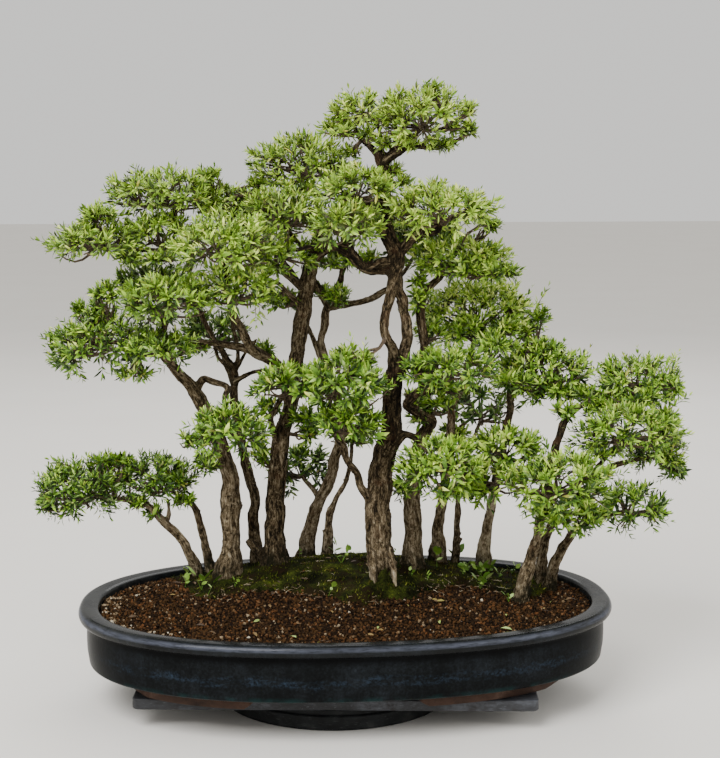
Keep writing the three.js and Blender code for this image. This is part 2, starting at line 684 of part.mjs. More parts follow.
function touches(solid, others) {
  return others.some((other) => boxesMeet(solid, other) && !solid.intersect(other).isEmpty())
}

function cutAway(solid, others) {
  const near = others.filter((other) => boxesMeet(solid, other))
  return near.reduce((left, other) => left.subtract(other), solid)
}

// Weeds: short stems with broad leaves, rooted in the soil
const weeds = {
  weed_left: { at: [-208, 36], stems: 3, height: 20, leaf: [19, 11], seed: 5 },
  weed_middle: { at: [-2, 66], stems: 2, height: 26, leaf: [16, 8], seed: 9 },
  weed_right: { at: [196, 6], stems: 4, height: 17, leaf: [15, 12], seed: 14 },
}

function makeWeed({ at: [x, y], stems, height, leaf, seed }, grow = 0) {
  const random = seeded(seed)
  const ground = soilHeight(x, y)
  const parts = [tube([[x, y, ground - 12, 2.2], [x, y, ground + 4, 2]], 4, grow)]
  for (let i = 0; i < stems; i++) {
    const angle = (2 * Math.PI * i) / stems + random()
    const out = 5 + height * 0.7 * random()
    const top = ground + height * (0.6 + 0.4 * random())
    const tip = [x + Math.cos(angle) * out, y + Math.sin(angle) * out, top, 0.9]
    parts.push(tube([[x, y, ground + 1, 1.5], tip], 3, grow))
    const root = vector(tip[0], tip[1], top - 0.5)
    const along = vector(Math.cos(angle), Math.sin(angle), 0.25).normalize()
    const across = vector(-Math.sin(angle), Math.cos(angle), 0)
    parts.push(blade(root.addScaledVector(along, -3), along, across, leaf[0], leaf[1], 1.8, grow))
  }
  return union(parts)
}

// Assembly
const group = new THREE.Group()

function place(name, solid, finish) {
  const material = new THREE.MeshStandardMaterial(finishes[finish])
  const mesh = new THREE.Mesh(geometryOf(solid), material)
  mesh.name = name
  group.add(mesh)
}

place('turntable_disc', makeDisc(), 'turntable')
place('stand_board', makeBoard(), 'board')
place('pot', makePot(), 'glaze')
place('drain_screen_left', makeScreen(-drainX), 'screen')
place('drain_screen_right', makeScreen(drainX), 'screen')

const wood = {}
const fatWood = {}
for (const [name, tree] of Object.entries(trees)) {
  const others = Object.values(fatWood)
  wood[name] = largestBody(cutAway(trunkAndLimbs(tree), others))
  fatWood[name] = trunkAndLimbs(tree, gap)
  place(name, wood[name], tree.finish)
}

const allFatWood = Object.values(fatWood)
const fatWeeds = []
for (const [name, weed] of Object.entries(weeds)) {
  place(name, largestBody(cutAway(makeWeed(weed), allFatWood)), 'weed')
  fatWeeds.push(makeWeed(weed, gap))
}

place('soil', largestBody(cutAway(makeSoil(), [...allFatWood, ...fatWeeds])), 'soil')

// Cores first, each kept clear of the ones before it, then the blades that clear every other cloud
const cores = {}
const fatCores = []
for (const [name, cloud] of Object.entries(clouds)) {
  cores[name] = largestBody(cutAway(cloudCore(cloud), fatCores))
  fatCores.push(cloudCore(cloud, coreGap))
}

const keptBlades = []
let seed = 1
for (const [name, cloud] of Object.entries(clouds)) {
  const random = seeded(seed++)
  const foreignCores = Object.keys(cores).filter((other) => other !== name).map((other) => cores[other])
  const foreignBlades = keptBlades.filter((kept) => kept.cloud !== name).map((kept) => kept.solid)
  const own = []
  for (const lobe of cloud.lobes) {
    for (const { root, along, across, length, width } of leafBlades(lobe, random)) {
      const fat = blade(root, along, across, length, width, leafThickness, gap)
      if (touches(fat, foreignCores) || touches(fat, foreignBlades)) continue
      const thin = blade(root, along, across, length, width, leafThickness)
      if (thin.intersect(cores[name]).volume() < leastRootVolume || touches(thin, own)) continue
      own.push(thin)
    }
  }
  keptBlades.push(...own.map((solid) => ({ cloud: name, solid })))
  const leafy = union([cores[name], ...own])
  place(name, largestBody(cutAway(leafy, allFatWood)), cloud.finish)
}

export default group
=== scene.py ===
import json
import math
import bmesh
import bpy
import numpy as np
from mathutils import Matrix, Vector, noise

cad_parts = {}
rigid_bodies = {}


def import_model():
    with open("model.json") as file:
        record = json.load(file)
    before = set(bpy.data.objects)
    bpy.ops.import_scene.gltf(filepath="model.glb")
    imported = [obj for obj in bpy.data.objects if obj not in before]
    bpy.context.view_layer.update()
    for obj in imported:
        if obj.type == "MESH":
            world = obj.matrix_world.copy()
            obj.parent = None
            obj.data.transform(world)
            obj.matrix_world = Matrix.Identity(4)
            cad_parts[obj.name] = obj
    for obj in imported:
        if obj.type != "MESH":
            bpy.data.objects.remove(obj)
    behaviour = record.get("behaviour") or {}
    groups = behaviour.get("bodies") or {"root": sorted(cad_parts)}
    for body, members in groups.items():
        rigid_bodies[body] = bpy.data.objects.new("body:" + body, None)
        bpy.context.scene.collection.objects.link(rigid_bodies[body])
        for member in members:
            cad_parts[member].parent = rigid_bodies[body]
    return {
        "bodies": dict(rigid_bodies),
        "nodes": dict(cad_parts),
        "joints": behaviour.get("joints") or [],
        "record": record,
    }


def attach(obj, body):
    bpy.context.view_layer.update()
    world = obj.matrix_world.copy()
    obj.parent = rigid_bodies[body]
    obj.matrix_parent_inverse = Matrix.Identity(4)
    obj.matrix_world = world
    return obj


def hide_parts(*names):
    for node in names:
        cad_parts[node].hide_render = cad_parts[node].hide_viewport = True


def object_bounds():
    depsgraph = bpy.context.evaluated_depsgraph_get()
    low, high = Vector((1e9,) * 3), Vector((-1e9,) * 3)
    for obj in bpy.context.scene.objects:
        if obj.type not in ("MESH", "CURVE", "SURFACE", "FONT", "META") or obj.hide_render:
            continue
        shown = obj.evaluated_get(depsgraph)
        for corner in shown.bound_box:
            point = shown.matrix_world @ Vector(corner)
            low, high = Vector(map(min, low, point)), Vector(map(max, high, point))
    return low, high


# Serissa bonsai: a forest planting in a glazed oval pot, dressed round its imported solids.
# Metres. Tables of places are in millimetres, as in the part's source, and go through mm.
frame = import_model()
cadLow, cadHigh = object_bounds()
mm = 0.001


def colour(red, green, blue):
    # a colour as seen on screen, 0 to 255, as the linear one that a shader takes
    def straight(value):
        share = value / 255
        return share / 12.92 if share < 0.04045 else ((share + 0.055) / 1.055) ** 2.4
    return (straight(red), straight(green), straight(blue), 1)


# shader maths: a wire is one output, and sums on it add the nodes that they need
class Wire:
    def __init__(self, finish, socket):
        self.finish = finish
        self.socket = socket

    def maths(self, operation, *values, clamp=False):
        made = self.finish.node("ShaderNodeMath", {"operation": operation, "use_clamp": clamp},
                                dict(enumerate(values)))
        return Wire(self.finish, made.outputs[0])

    def __add__(self, other):
        return self.maths("ADD", self, other)

    def __sub__(self, other):
        return self.maths("SUBTRACT", self, other)

    def __rsub__(self, other):
        return self.maths("SUBTRACT", other, self)

    def __mul__(self, other):
        return self.maths("MULTIPLY", self, other)

    def __truediv__(self, other):
        return self.maths("DIVIDE", self, other)

    def __pow__(self, other):
        return self.maths("POWER", self, other)

    __radd__ = __add__
    __rmul__ = __mul__

    def kept(self):
        return self.maths("MULTIPLY", self, 1, clamp=True)

    def step(self, low, high):
        # 0 below low, 1 above high, and smooth between
        made = self.finish.node("ShaderNodeMapRange", {"interpolation_type": "SMOOTHSTEP"},
                                {0: self, 1: low, 2: high, 3: 0, 4: 1})
        return Wire(self.finish, made.outputs[0])


class Finish:
    def __init__(self, name, **fixed):
        self.material = bpy.data.materials.new(name)
        self.material.use_nodes = True
        self.tree = self.material.node_tree
        self.shader = self.tree.nodes["Principled BSDF"]
        self.set(**fixed)

    def node(self, kind, settings=None, values=None):
        made = self.tree.nodes.new(kind)
        for key, value in (settings or {}).items():
            if key == "stops":
                while len(made.color_ramp.elements) < len(value):
                    made.color_ramp.elements.new(0.5)
                for stop, (place, shade) in zip(made.color_ramp.elements, value):
                    stop.position = place
                    stop.color = shade
            else:
                setattr(made, key, value)
        for key, value in (values or {}).items():
            self.feed(made.inputs[key], value)
        return made

    def feed(self, socket, value):
        if isinstance(value, Wire):
            self.tree.links.new(value.socket, socket)
        else:
            socket.default_value = value

    def set(self, **values):
        for key, value in values.items():
            self.feed(self.shader.inputs[key.replace("_", " ")], value)

    def place(self):
        return Wire(self, self.node("ShaderNodeTexCoord").outputs["Object"])

    def attribute(self, name, output="Fac"):
        return Wire(self, self.node("ShaderNodeAttribute", {"attribute_name": name}).outputs[output])

    def split(self, vector):
        made = self.node("ShaderNodeSeparateXYZ", None, {0: vector})
        return [Wire(self, socket) for socket in made.outputs]

    def stretch(self, vector, x, y, z):
        made = self.node("ShaderNodeMapping", {"vector_type": "POINT"}, {0: vector, 3: (x, y, z)})
        return Wire(self, made.outputs[0])

    def noise(self, vector, scale, detail=3, roughness=0.55, distortion=0):
        made = self.node("ShaderNodeTexNoise", None, {
            "Vector": vector, "Scale": scale, "Detail": detail, "Roughness": roughness,
            "Distortion": distortion})
        return Wire(self, made.outputs["Fac"])

    def cells(self, vector, scale, feature="F1", output="Distance"):
        made = self.node("ShaderNodeTexVoronoi", {"feature": feature}, {"Vector": vector, "Scale": scale})
        return Wire(self, made.outputs[output])

    def ramp(self, value, *stops):
        # each stop is its place and its colour as seen on screen
        stops = [(place, colour(*shade)) for place, *shade in stops]
        return Wire(self, self.node("ShaderNodeValToRGB", {"stops": stops}, {0: value}).outputs[0])

    def mix(self, share, first, second, blend="MIX"):
        made = self.node("ShaderNodeMix", {"data_type": "RGBA", "blend_type": blend}, {
            0: share, 6: first, 7: second})
        return Wire(self, made.outputs[2])

    def bump(self, height, distance, strength=1):
        made = self.node("ShaderNodeBump", None, {
            "Strength": strength, "Distance": distance, "Height": height})
        self.set(Normal=Wire(self, made.outputs[0]))


# pieces: from a bmesh, or from many copies of small shapes
def keep(obj, slot, nodes=(), finishes=()):
    for finish in finishes:
        obj.data.materials.append(finish.material)
    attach(obj, "root")
    if nodes:
        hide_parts(*nodes)
    return obj


def pieceFrom(name, bm, smooth=True):
    bmesh.ops.recalc_face_normals(bm, faces=bm.faces)
    mesh = bpy.data.meshes.new(name)
    bm.to_mesh(mesh)
    bm.free()
    obj = bpy.data.objects.new(name, mesh)
    bpy.context.scene.collection.objects.link(obj)
    if smooth:
        for face in mesh.polygons:
            face.use_smooth = True
    return obj


def finished(obj):
    # the mesh that an object's modifiers give, as its own
    shown = obj.evaluated_get(bpy.context.evaluated_depsgraph_get())
    mesh = bpy.data.meshes.new_from_object(shown)
    obj.modifiers.clear()
    old = obj.data
    obj.data = mesh
    if isinstance(old, bpy.types.Mesh):
        bpy.data.meshes.remove(old)
    return obj


def shapeOf(bm):
    # a small shape's points and faces, for copying
    bm.verts.ensure_lookup_table()
    points = np.array([v.co for v in bm.verts])
    faces = [[v.index for v in face.verts] for face in bm.faces]
    bm.free()
    return points, faces


class Heap:
    # copies of small shapes, gathered into one mesh with a tone for each copy
    def __init__(self):
        self.points = []
        self.faces = []
        self.tones = []
        self.slots = []
        self.count = 0

    def add(self, shape, points, tones, slot=0, rise=0):
        # points: copies by vertices by 3; the first tone may rise along the shape
        flat, faces = shape
        copies, each = points.shape[:2]
        if not copies:
            return
        self.points.append(points.reshape(-1, 3))
        starts = self.count + np.arange(copies) * each
        for size in sorted({len(face) for face in faces}):
            some = np.array([face for face in faces if len(face) == size])
            block = (starts[:, None, None] + some[None]).reshape(-1, size)
            self.faces.extend(block.tolist())
            self.slots.extend([slot] * len(block))
        tones = np.repeat(tones, each, axis=0)
        tones[:, 0] += np.tile(flat[:, 0] - 0.5, copies) * rise
        self.tones.append(tones)
        self.count += copies * each

    def addMesh(self, mesh, tone, slot):
        points = np.empty(len(mesh.vertices) * 3)
        mesh.vertices.foreach_get("co", points)
        points = points.reshape(-1, 3)
        faces = [[self.count + i for i in face.vertices] for face in mesh.polygons]
        self.points.append(points)
        self.faces.extend(faces)
        self.slots.extend([slot] * len(faces))
        self.tones.append(np.tile(np.array([tone]), (len(points), 1)))
        self.count += len(points)

    def trim(self):
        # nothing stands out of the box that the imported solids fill
        edge = 0.2 * mm
        low, high = np.array(cadLow) + edge, np.array(cadHigh) - edge
        self.points = [np.clip(points, low, high) for points in self.points]

    def piece(self, name):
        mesh = bpy.data.meshes.new(name)
        mesh.from_pydata(np.concatenate(self.points).tolist(), [], self.faces)
        tones = np.concatenate(self.tones)
        layer = mesh.attributes.new("tone", "FLOAT_VECTOR", "POINT")
        layer.data.foreach_set("vector", tones.astype(np.float32).ravel())
        mesh.polygons.foreach_set("material_index", self.slots)
        obj = bpy.data.objects.new(name, mesh)
        bpy.context.scene.collection.objects.link(obj)
        return obj


def across(vectors):
    return np.linalg.norm(vectors, axis=-1, keepdims=True)


def unit(vectors):
    return vectors / np.maximum(across(vectors), 1e-9)


def placed(shape, at, along, up, length, width, thick):
    # copies with the shape's X along, its Y across and its Z up
    points, _ = shape
    along = unit(along)
    side = unit(np.cross(up, along))
    top = np.cross(along, side)
    x = points[None, :, 0:1] * length[:, None, None] * along[:, None, :]
    y = points[None, :, 1:2] * width[:, None, None] * side[:, None, :]
    z = points[None, :, 2:3] * thick[:, None, None] * top[:, None, :]
    return at[:, None, :] + x + y + z


# camera, floor and light
view = {"azimuth": -5.19, "elevation": 8.18, "distance": 2337 * mm, "target": (19.5 * mm, 0, 458.4 * mm),
        "focalPixels": 1650, "longSide": 758, "sensor": 36}


def makeCamera():
    azimuth = math.radians(view["azimuth"])
    elevation = math.radians(view["elevation"])
    back = Vector((math.sin(azimuth) * math.cos(elevation), -math.cos(azimuth) * math.cos(elevation),
                   math.sin(elevation)))
    lens = bpy.data.cameras.new("camera")
    lens.sensor_width = view["sensor"]
    lens.lens = view["focalPixels"] / view["longSide"] * view["sensor"]
    lens.clip_start = 0.1
    lens.clip_end = 60
    camera = bpy.data.objects.new("camera", lens)
    bpy.context.scene.collection.objects.link(camera)
    camera.location = Vector(view["target"]) + back * view["distance"]
    camera.rotation_euler = (-back).to_track_quat("-Z", "Y").to_euler()
    bpy.context.scene.camera = camera


stageSizes = {"floor": 14, "sky": 1.0, "aim": (0, 0, 0.4)}
# each lamp's place, size and power
lamps = {
    "key": ((-1.5, -2.2, 3.0), 2.2, 190),
    "fill": ((2.4, -1.8, 1.8), 2.0, 26),
    "rim": ((0.6, 2.6, 2.6), 2.0, 50),
}


def makeStage():
    bm = bmesh.new()
    bmesh.ops.create_grid(bm, x_segments=1, y_segments=1, size=stageSizes["floor"])
    floor = pieceFrom("floor", bm, smooth=False)
    pale = Finish("paleFloor", Roughness=0.9)
    pale.set(Base_Color=pale.mix(pale.noise(pale.place(), 3), colour(226, 222, 215), colour(232, 229, 223)))
    floor.data.materials.append(pale.material)
    world = bpy.data.worlds.new("studio")
    world.use_nodes = True
    world.node_tree.nodes["Background"].inputs[0].default_value = colour(244, 243, 240)
    world.node_tree.nodes["Background"].inputs[1].default_value = stageSizes["sky"]
    bpy.context.scene.world = world
    for name, (where, size, power) in lamps.items():
        lamp = bpy.data.lights.new(name, "AREA")
        lamp.energy = power
        lamp.size = size
        made = bpy.data.objects.new(name, lamp)
        made.location = where
        made.rotation_euler = (Vector(stageSizes["aim"]) - Vector(where)).to_track_quat("-Z", "Y").to_euler()
        bpy.context.scene.collection.objects.link(made)


makeCamera()
makeStage()
print("camera and stage made")


# pot: an oval drawn in by an inset
pot = {
    "length": 766 * mm, "depth": 490 * mm, "square": 2.3, "around": 176,
    "floorBottom": 61.7 * mm, "floorTop": 72.7 * mm, "rimTop": 142.7 * mm, "lip": 30 * mm,
    "drain": 13 * mm, "drainX": 190 * mm,
    # its section, as inset and height in mm: the wall above the base, the lip below the rim on both sides,
    # and the inside above the floor
    "wall": [(14, 12), (12.6, 22), (12.2, 36), (12.6, 50), (13.4, 58)],
    "underLip": [(13, 19.4), (11.4, 18), (7, 16.6)],
    "overLip": [(16, 0.25), (23, 0.8), (27.5, 1.6), (29.4, 3.4), (30, 7), (30, 16)],
    "inside": [(34, 12), (38, 4), (44, 0)],
    # glaze, as shares of the height: where the lip starts and is full, where painted shadow darkens the
    # wall under it, the wavy line on the wall and its swing, and the height of the painted highlight along
    # the lip's outer edge and how fast it narrows
    "lipGlaze": (0.76, 0.86), "underLipShadow": (0.6, 0.74), "wave": 0.36, "swing": 0.32, "edge": 0.938, "highlightSharpness": 21,
}
feet = {
    "bottom": 44.7 * mm, "inset": 34 * mm, "width": 32 * mm, "draft": 3 * mm, "sunk": 1.5 * mm, "steps": 36,
    "round": 1.6 * mm, "spans": ((-160, -344), (92, 330)),
    # how deep a foot reaches along its length
    "taper": [(0, 0.6), (0.05, 1), (0.35, 1), (0.62, 1), (0.84, 0.95), (1, 0.3)],
}
soil = {"edge": 132.7 * mm, "mound": 42 * mm, "fall": 1.2, "centre": (10 * mm, 95 * mm),
        "reach": (240 * mm, 150 * mm), "gap": 0.7 * mm}


def ovalPoint(turn, inset, z):
    c, s = math.cos(turn), math.sin(turn)
    power = 2 / pot["square"]
    return Vector(((pot["length"] / 2 - inset) * math.copysign(abs(c) ** power, c),
                   (pot["depth"] / 2 - inset) * math.copysign(abs(s) ** power, s), z))


def ovalShare(x, y, inset=pot["lip"]):
    along = np.abs(x / (pot["length"] / 2 - inset)) ** pot["square"]
    aside = np.abs(y / (pot["depth"] / 2 - inset)) ** pot["square"]
    return (along + aside) ** (1 / pot["square"])


def soilHeight(x, y):
    along = (x - soil["centre"][0]) / soil["reach"][0]
    aside = (y - soil["centre"][1]) / soil["reach"][1]
    edge = np.maximum(1 - ovalShare(x, y) ** 6, 0)
    ripple = 1.2 * mm * np.sin(x / (31 * mm)) * np.cos(y / (23 * mm))
    mound = soil["mound"] * np.exp(-soil["fall"] * (along ** 2 + aside ** 2))
    return soil["edge"] + (mound + ripple) * edge


def ovalShell(name, rings, around):
    # rings: functions of the turn that give a point, from the first face to the last
    bm = bmesh.new()
    turn = bm.verts.layers.float.new("turn")
    first = bmesh.ops.create_circle(bm, segments=around, radius=1, cap_ends=True)["verts"]
    for v in first:
        v[turn] = math.atan2(v.co.y, v.co.x)
        v.co = rings[0](v[turn])
    edges = bm.edges[:]
    for ring in rings[1:]:
        grown = bmesh.ops.extrude_edge_only(bm, edges=edges)["geom"]
        fresh = {g for g in grown if isinstance(g, bmesh.types.BMVert)}
        edges = [g for g in grown if isinstance(g, bmesh.types.BMEdge) and all(v in fresh for v in g.verts)]
        for v in fresh:
            v.co = ring(v[turn])
    bmesh.ops.contextual_create(bm, geom=edges)
    return pieceFrom(name, bm)


def ring(inset, z):
    return lambda turn: ovalPoint(turn, inset * mm, z)


def arcRings(centreInset, centreZ, wide, high, start, end, steps):
    # a rounded stretch of the pot's section, from one angle to another
    made = []
    for i in range(steps + 1):
        angle = math.radians(start + (end - start) * i / steps)
        made.append(ring(centreInset - wide * math.cos(angle), centreZ + high * mm * math.sin(angle)))
    return made


def potGlaze():
    glaze = Finish("navyGlaze", Roughness=0.2, Specular_IOR_Level=0.03, Coat_Roughness=0.08)
    place = glaze.place()
    x, y, z = glaze.split(place)
    low = glaze.noise(glaze.stretch(place, 1, 1, 1.6), 14, 4)
    fine = glaze.noise(place, 260, 3, 0.7)
    wave = glaze.noise(glaze.stretch(place, 1, 1, 0), 9, 2)
    height = (z - pot["floorBottom"]) / (pot["rimTop"] - pot["floorBottom"])
    lip = height.step(*pot["lipGlaze"])
    run = glaze.noise(glaze.stretch(place, 1, 1, 0.25), 70, 4, 0.7)
    body = glaze.ramp(low * 0.4 + fine * 0.36 + run * 0.24, (0.36, 8, 9, 10), (0.48, 15, 17, 18),
                      (0.58, 24, 27, 30), (0.7, 38, 43, 48))
    # a wavy, broken, paler band where the glaze ran thin on the lower wall, teal at its edge
    level = height - pot["wave"] - (wave - 0.5) * pot["swing"]
    broken = glaze.noise(glaze.stretch(place, 1, 1, 3), 40, 5, 0.7).step(0.4, 0.66)
    band = (1 - level * level * 90).kept() * broken * fine.step(0.3, 0.7)
    body = glaze.mix(band * 0.6, body, colour(44, 58, 74))
    teal = (1 - height * 9).kept() * glaze.noise(place, 40, 3).step(0.38, 0.62)
    body = glaze.mix(teal * 0.7, body, colour(24, 52, 52))
    # grey bloom of lime on the rim, heaviest at the two ends and thin along the sides
    ends = (x * x * (1 / (pot["length"] / 2) ** 2)).step(0.35, 0.95)
    bloom = lip * (0.03 + ends * 0.29) * glaze.noise(place, 28, 5, 0.65).step(0.32, 0.6)
    body = glaze.mix(bloom, body, colour(68, 68, 64))
    # painted shadow: the wall just under the lip is darkened nearly to black
    body = glaze.mix(height.step(*pot["underLipShadow"]) * (1 - lip) * 0.8, body, colour(4, 4, 5))
    # painted highlight: a streaky, patchy pale blue grey band along the lip's outer shoulder
    half = pot["square"] / 2
    along = (x * x) ** half * (1 / (pot["length"] / 2) ** pot["square"])
    outward = along + (y * y) ** half * (1 / (pot["depth"] / 2) ** pot["square"])
    shoulder = (height - pot["edge"]) * pot["highlightSharpness"]
    thin = (1 - shoulder * shoulder).kept() * outward.step(0.86, 0.93)
    streaks = glaze.noise(glaze.stretch(place, 1, 1, 8), 55, 4, 0.7).step(0.3, 0.62)
    patches = glaze.noise(place, 7, 2).step(0.3, 0.6)
    body = glaze.mix(thin * (0.12 + streaks * 0.38) * (0.5 + patches * 0.5), body, colour(92, 96, 110))
    side = ends * (1 - lip) * glaze.noise(glaze.stretch(place, 1, 1, 0.4), 46, 4).step(0.42, 0.7) * 0.05
    body = glaze.mix(side, body, colour(42, 54, 52))
    # painted shade: the wall at the two ends is darkened nearly to black
    body = glaze.mix(ends * (1 - lip) * 0.85, body, colour(4, 5, 5))
    rough = 0.28 - lip * 0.1 + fine * 0.08 + bloom * 0.34 + side * 0.2
    glaze.set(Base_Color=body, Coat_Weight=lip * 0.13 + 0.02, Roughness=rough)
    glaze.bump(low * 0.7 + fine * 0.3, 0.0014, 0.4)
    return glaze


def clayFinish():
    clay = Finish("bareClay", Roughness=0.85, Specular_IOR_Level=0.15)
    place = clay.place()
    grain = clay.noise(place, 220, 4, 0.6)
    patch = clay.noise(place, 26, 3)
    body = clay.ramp(patch * 0.7 + grain * 0.3, (0.3, 36, 27, 23), (0.55, 64, 47, 39),
                     (0.75, 92, 74, 64))
    clay.set(Base_Color=body, Roughness=0.75 + grain * 0.2)
    clay.bump(grain, 0.0007, 0.6)
    return clay


def ovalAngle(x, half):
    c = math.copysign((abs(x) / (pot["length"] / 2)) ** (pot["square"] / 2), x)
    return half * math.acos(c)


def makeFoot(name, innerX, outerX, half):
    # a long foot that follows the outline and tapers at both ends
    bm = bmesh.new()
    share = bm.verts.layers.float.new("share")
    first = bmesh.ops.create_grid(bm, x_segments=1, y_segments=1, size=1)["verts"]
    corners = [(v, v.co.x > 0, v.co.y > 0) for v in first]
    shares, heights = zip(*feet["taper"])

    def corner(inner, upper, along):
        turn = ovalAngle(innerX + (outerX - innerX) * along, half)
        depth = float(np.interp(along, shares, heights)) * (pot["floorBottom"] - feet["bottom"])
        low = pot["floorBottom"] - depth
        inset = feet["inset"] + (feet["width"] if inner else 0 if upper else feet["draft"])
        return ovalPoint(turn, inset, pot["floorBottom"] + feet["sunk"] if upper else low)

    for v, inner, upper in corners:
        v.co = corner(inner, upper, 0)
        v[share] = (2 if inner else 0) + (1 if upper else 0)
    faces = bm.faces[:]
    for i in range(1, feet["steps"] + 1):
        grown = bmesh.ops.extrude_face_region(bm, geom=faces)["geom"]
        faces = [g for g in grown if isinstance(g, bmesh.types.BMFace)]
        for v in {v for face in faces for v in face.verts}:
            code = round(v[share])
            v.co = corner(code >= 2, code % 2 == 1, i / feet["steps"])
    long = [e for e in bm.edges if e.is_manifold and e.calc_face_angle(0) > 0.6]
    bmesh.ops.bevel(bm, geom=long, offset=feet["round"], segments=2, profile=0.5, affect="EDGES", material=-1)
    return pieceFrom(name, bm)


def makePot():
    top = pot["rimTop"]
    base = pot["floorBottom"]
    rings = [ring(30, base), ring(24, base)]
    rings += arcRings(21, base + 5 * mm, 6, 5, -70, 0, 4)
    rings += [ring(inset, base + up * mm) for inset, up in pot["wall"]]
    rings += [ring(inset, top - down * mm) for inset, down in pot["underLip"]]
    rings += arcRings(9.7, top - 9 * mm, 8.5, 9, -52, 90, 12)
    rings += [ring(inset, top - down * mm) for inset, down in pot["overLip"]]
    rings += [ring(inset, pot["floorTop"] + up * mm) for inset, up in pot["inside"]]
    body = ovalShell("pot_body", rings, pot["around"])
    for x in (-pot["drainX"], pot["drainX"]):
        bm = bmesh.new()
        bmesh.ops.create_cone(bm, cap_ends=True, segments=40, radius1=pot["drain"], radius2=pot["drain"],
                              depth=40 * mm)
        bmesh.ops.translate(bm, verts=bm.verts, vec=(x, 0, (base + pot["floorTop"]) / 2))
        punch = pieceFrom("punch", bm)
        cut = body.modifiers.new("drain", "BOOLEAN")
        cut.object = punch
        cut.operation = "DIFFERENCE"
        finished(body)
        bpy.data.objects.remove(punch)
    keep(body, "glaze", ["pot"], [potGlaze()])
    clay = clayFinish()
    number = 1
    for half in (-1, 1):
        for innerX, outerX in feet["spans"]:
            foot = makeFoot(f"pot_foot_{number}", innerX * mm, outerX * mm, half)
            keep(foot, "glaze", [], [clay])
            number += 1


makePot()
print("pot made")


# soil: a bed with granules, moss on the mound, straws and dropped leaves
ground = {
    "seed": 11, "grain": 4.5 * mm, "smallest": 2.8 * mm, "largest": 6.2 * mm, "kinds": 5, "push": 0.17,
    # shares of the crumbs that are nearly white, tan and rust
    "palest": 0.004, "tan": 0.036, "rust": 0.12,
    # how many tufts of moss, spots tried for them, straws and dropped leaves
    "tufts": 5600, "tries": 26000, "straws": 190, "dropped": 90,
}
# the moss: the middle and half size of its plan, its grid and how high it stands on the bed
moss = {"x": 22 * mm, "y": 34 * mm, "halfX": 318 * mm, "halfY": 181 * mm, "grid": (150, 86), "high": 4.2 * mm}


def lump(seed, push):
    # a crumb: eight faces with their corners pushed about
    bm = bmesh.new()
    bmesh.ops.create_uvsphere(bm, u_segments=4, v_segments=2, radius=1)
    draw = np.random.default_rng(seed)
    for v in bm.verts:
        v.co = v.co.normalized() * 0.55 + Vector(draw.uniform(-push, push, 3))
    return shapeOf(bm)


def bumps(x, y, scale, seed):
    # smooth noise over the plan, for thousands of points at a time
    return np.array([noise.noise((a / scale, b / scale, seed)) for a, b in zip(np.ravel(x), np.ravel(y))])


# the front edge of the moss, as x and y in mm, and low mounds round the feet, as x, y, reach and height
mossEdge = [
    (-262, 150), (-240, 112), (-222, 29), (-190, 0), (-159, 6), (-109, 0), (-58, -18), (-29, -32),
    (-9, -44), (21, -46), (87, -40), (127, -4), (168, 15), (214, 4), (245, -24), (272, -16), (305, 32),
    (332, 120),
]
mounds = [
    (-167, 74, 38, 7), (-97, 88, 42, 7), (-125, 122, 26, 5), (-47, 165, 26, 5), (50, -14, 44, 7),
    (53, -18, 16, 22), (20, -34, 26, 6), (84, -28, 26, 6), (103, 58, 34, 6), (147, 106, 24, 5),
    (218, 98, 22, 4), (252, -18, 34, 8), (303, 34, 30, 7), (296, 62, 24, 5), (-218, 130, 24, 4),
    (-196, 137, 22, 4), (180, 129, 18, 4),
]


def mossShare(x, y):
    # how mossy the ground is: 1 on the mound among the trunks, 0 out on the bare granules
    along = (x - 24 * mm) / (320 * mm)
    aside = (y - 122 * mm) / (np.where(y < 122 * mm, 400, 150) * mm)
    edgeX, edgeY = zip(*mossEdge)
    front = (y - np.interp(x / mm, edgeX, edgeY) * mm) / (9 * mm)
    ragged = bumps(x, y, 38 * mm, 3) * 0.3 + bumps(x, y, 14 * mm, 8) * 0.2
    patchy = np.exp(-((x - 170 * mm) / (42 * mm)) ** 2 - ((y - 30 * mm) / (50 * mm)) ** 2) * 0.5
    back = (1.04 - (along ** 2 + aside ** 2) ** 0.5 + ragged) * 4
    return np.clip(np.minimum(front + ragged * 5, back) - patchy, 0, 1)


def moundLift(x, y):
    # how far the low mounds round the feet raise the moss
    return sum(high * mm * np.exp(-2 * ((x - mx * mm) ** 2 + (y - my * mm) ** 2) / (reach * mm) ** 2)
               for mx, my, reach, high in mounds)


def turned(draw, count):
    # random directions and, for each, one across it
    along = unit(draw.normal(size=(count, 3)))
    up = unit(np.cross(along, unit(draw.normal(size=(count, 3)))))
    return along, up


def makeSoilBed():
    wall = pot["lip"] / mm + soil["gap"] / mm
    bottom = pot["floorTop"] + 1.6 * mm + soil["gap"]
    rings = [ring(45.5, bottom), ring(35.5, bottom + 10 * mm), ring(wall, pot["rimTop"] - 16 * mm),
             ring(wall, soil["edge"] - 1.5 * mm)]

    def level(share):
        def place(turn):
            flat = ovalPoint(turn, wall * mm, 0) * share
            rough = noise.noise(flat / (9 * mm)) * 1.1 * mm
            return Vector((flat.x, flat.y, float(soilHeight(flat.x, flat.y)) - 1.4 * mm + rough))
        return place

    count = 34
    rings += [level(1 - i / count) for i in range(count)]
    bed = ovalShell("soil_bed", rings, 120)
    earth = Finish("wetEarth", Roughness=0.95, Specular_IOR_Level=0.06)
    place = earth.place()
    crumbs = earth.cells(place, 260, "F1", "Distance")
    patch = earth.noise(place, 120, 4)
    earth.set(Base_Color=earth.ramp(crumbs * 0.8 + patch * 0.3, (0.15, 44, 27, 17), (0.4, 30, 19, 12),
                                    (0.75, 14, 9, 6)))
    earth.bump(crumbs * -1, 0.0018, 0.8)
    keep(bed, "soil", ["soil"], [earth])


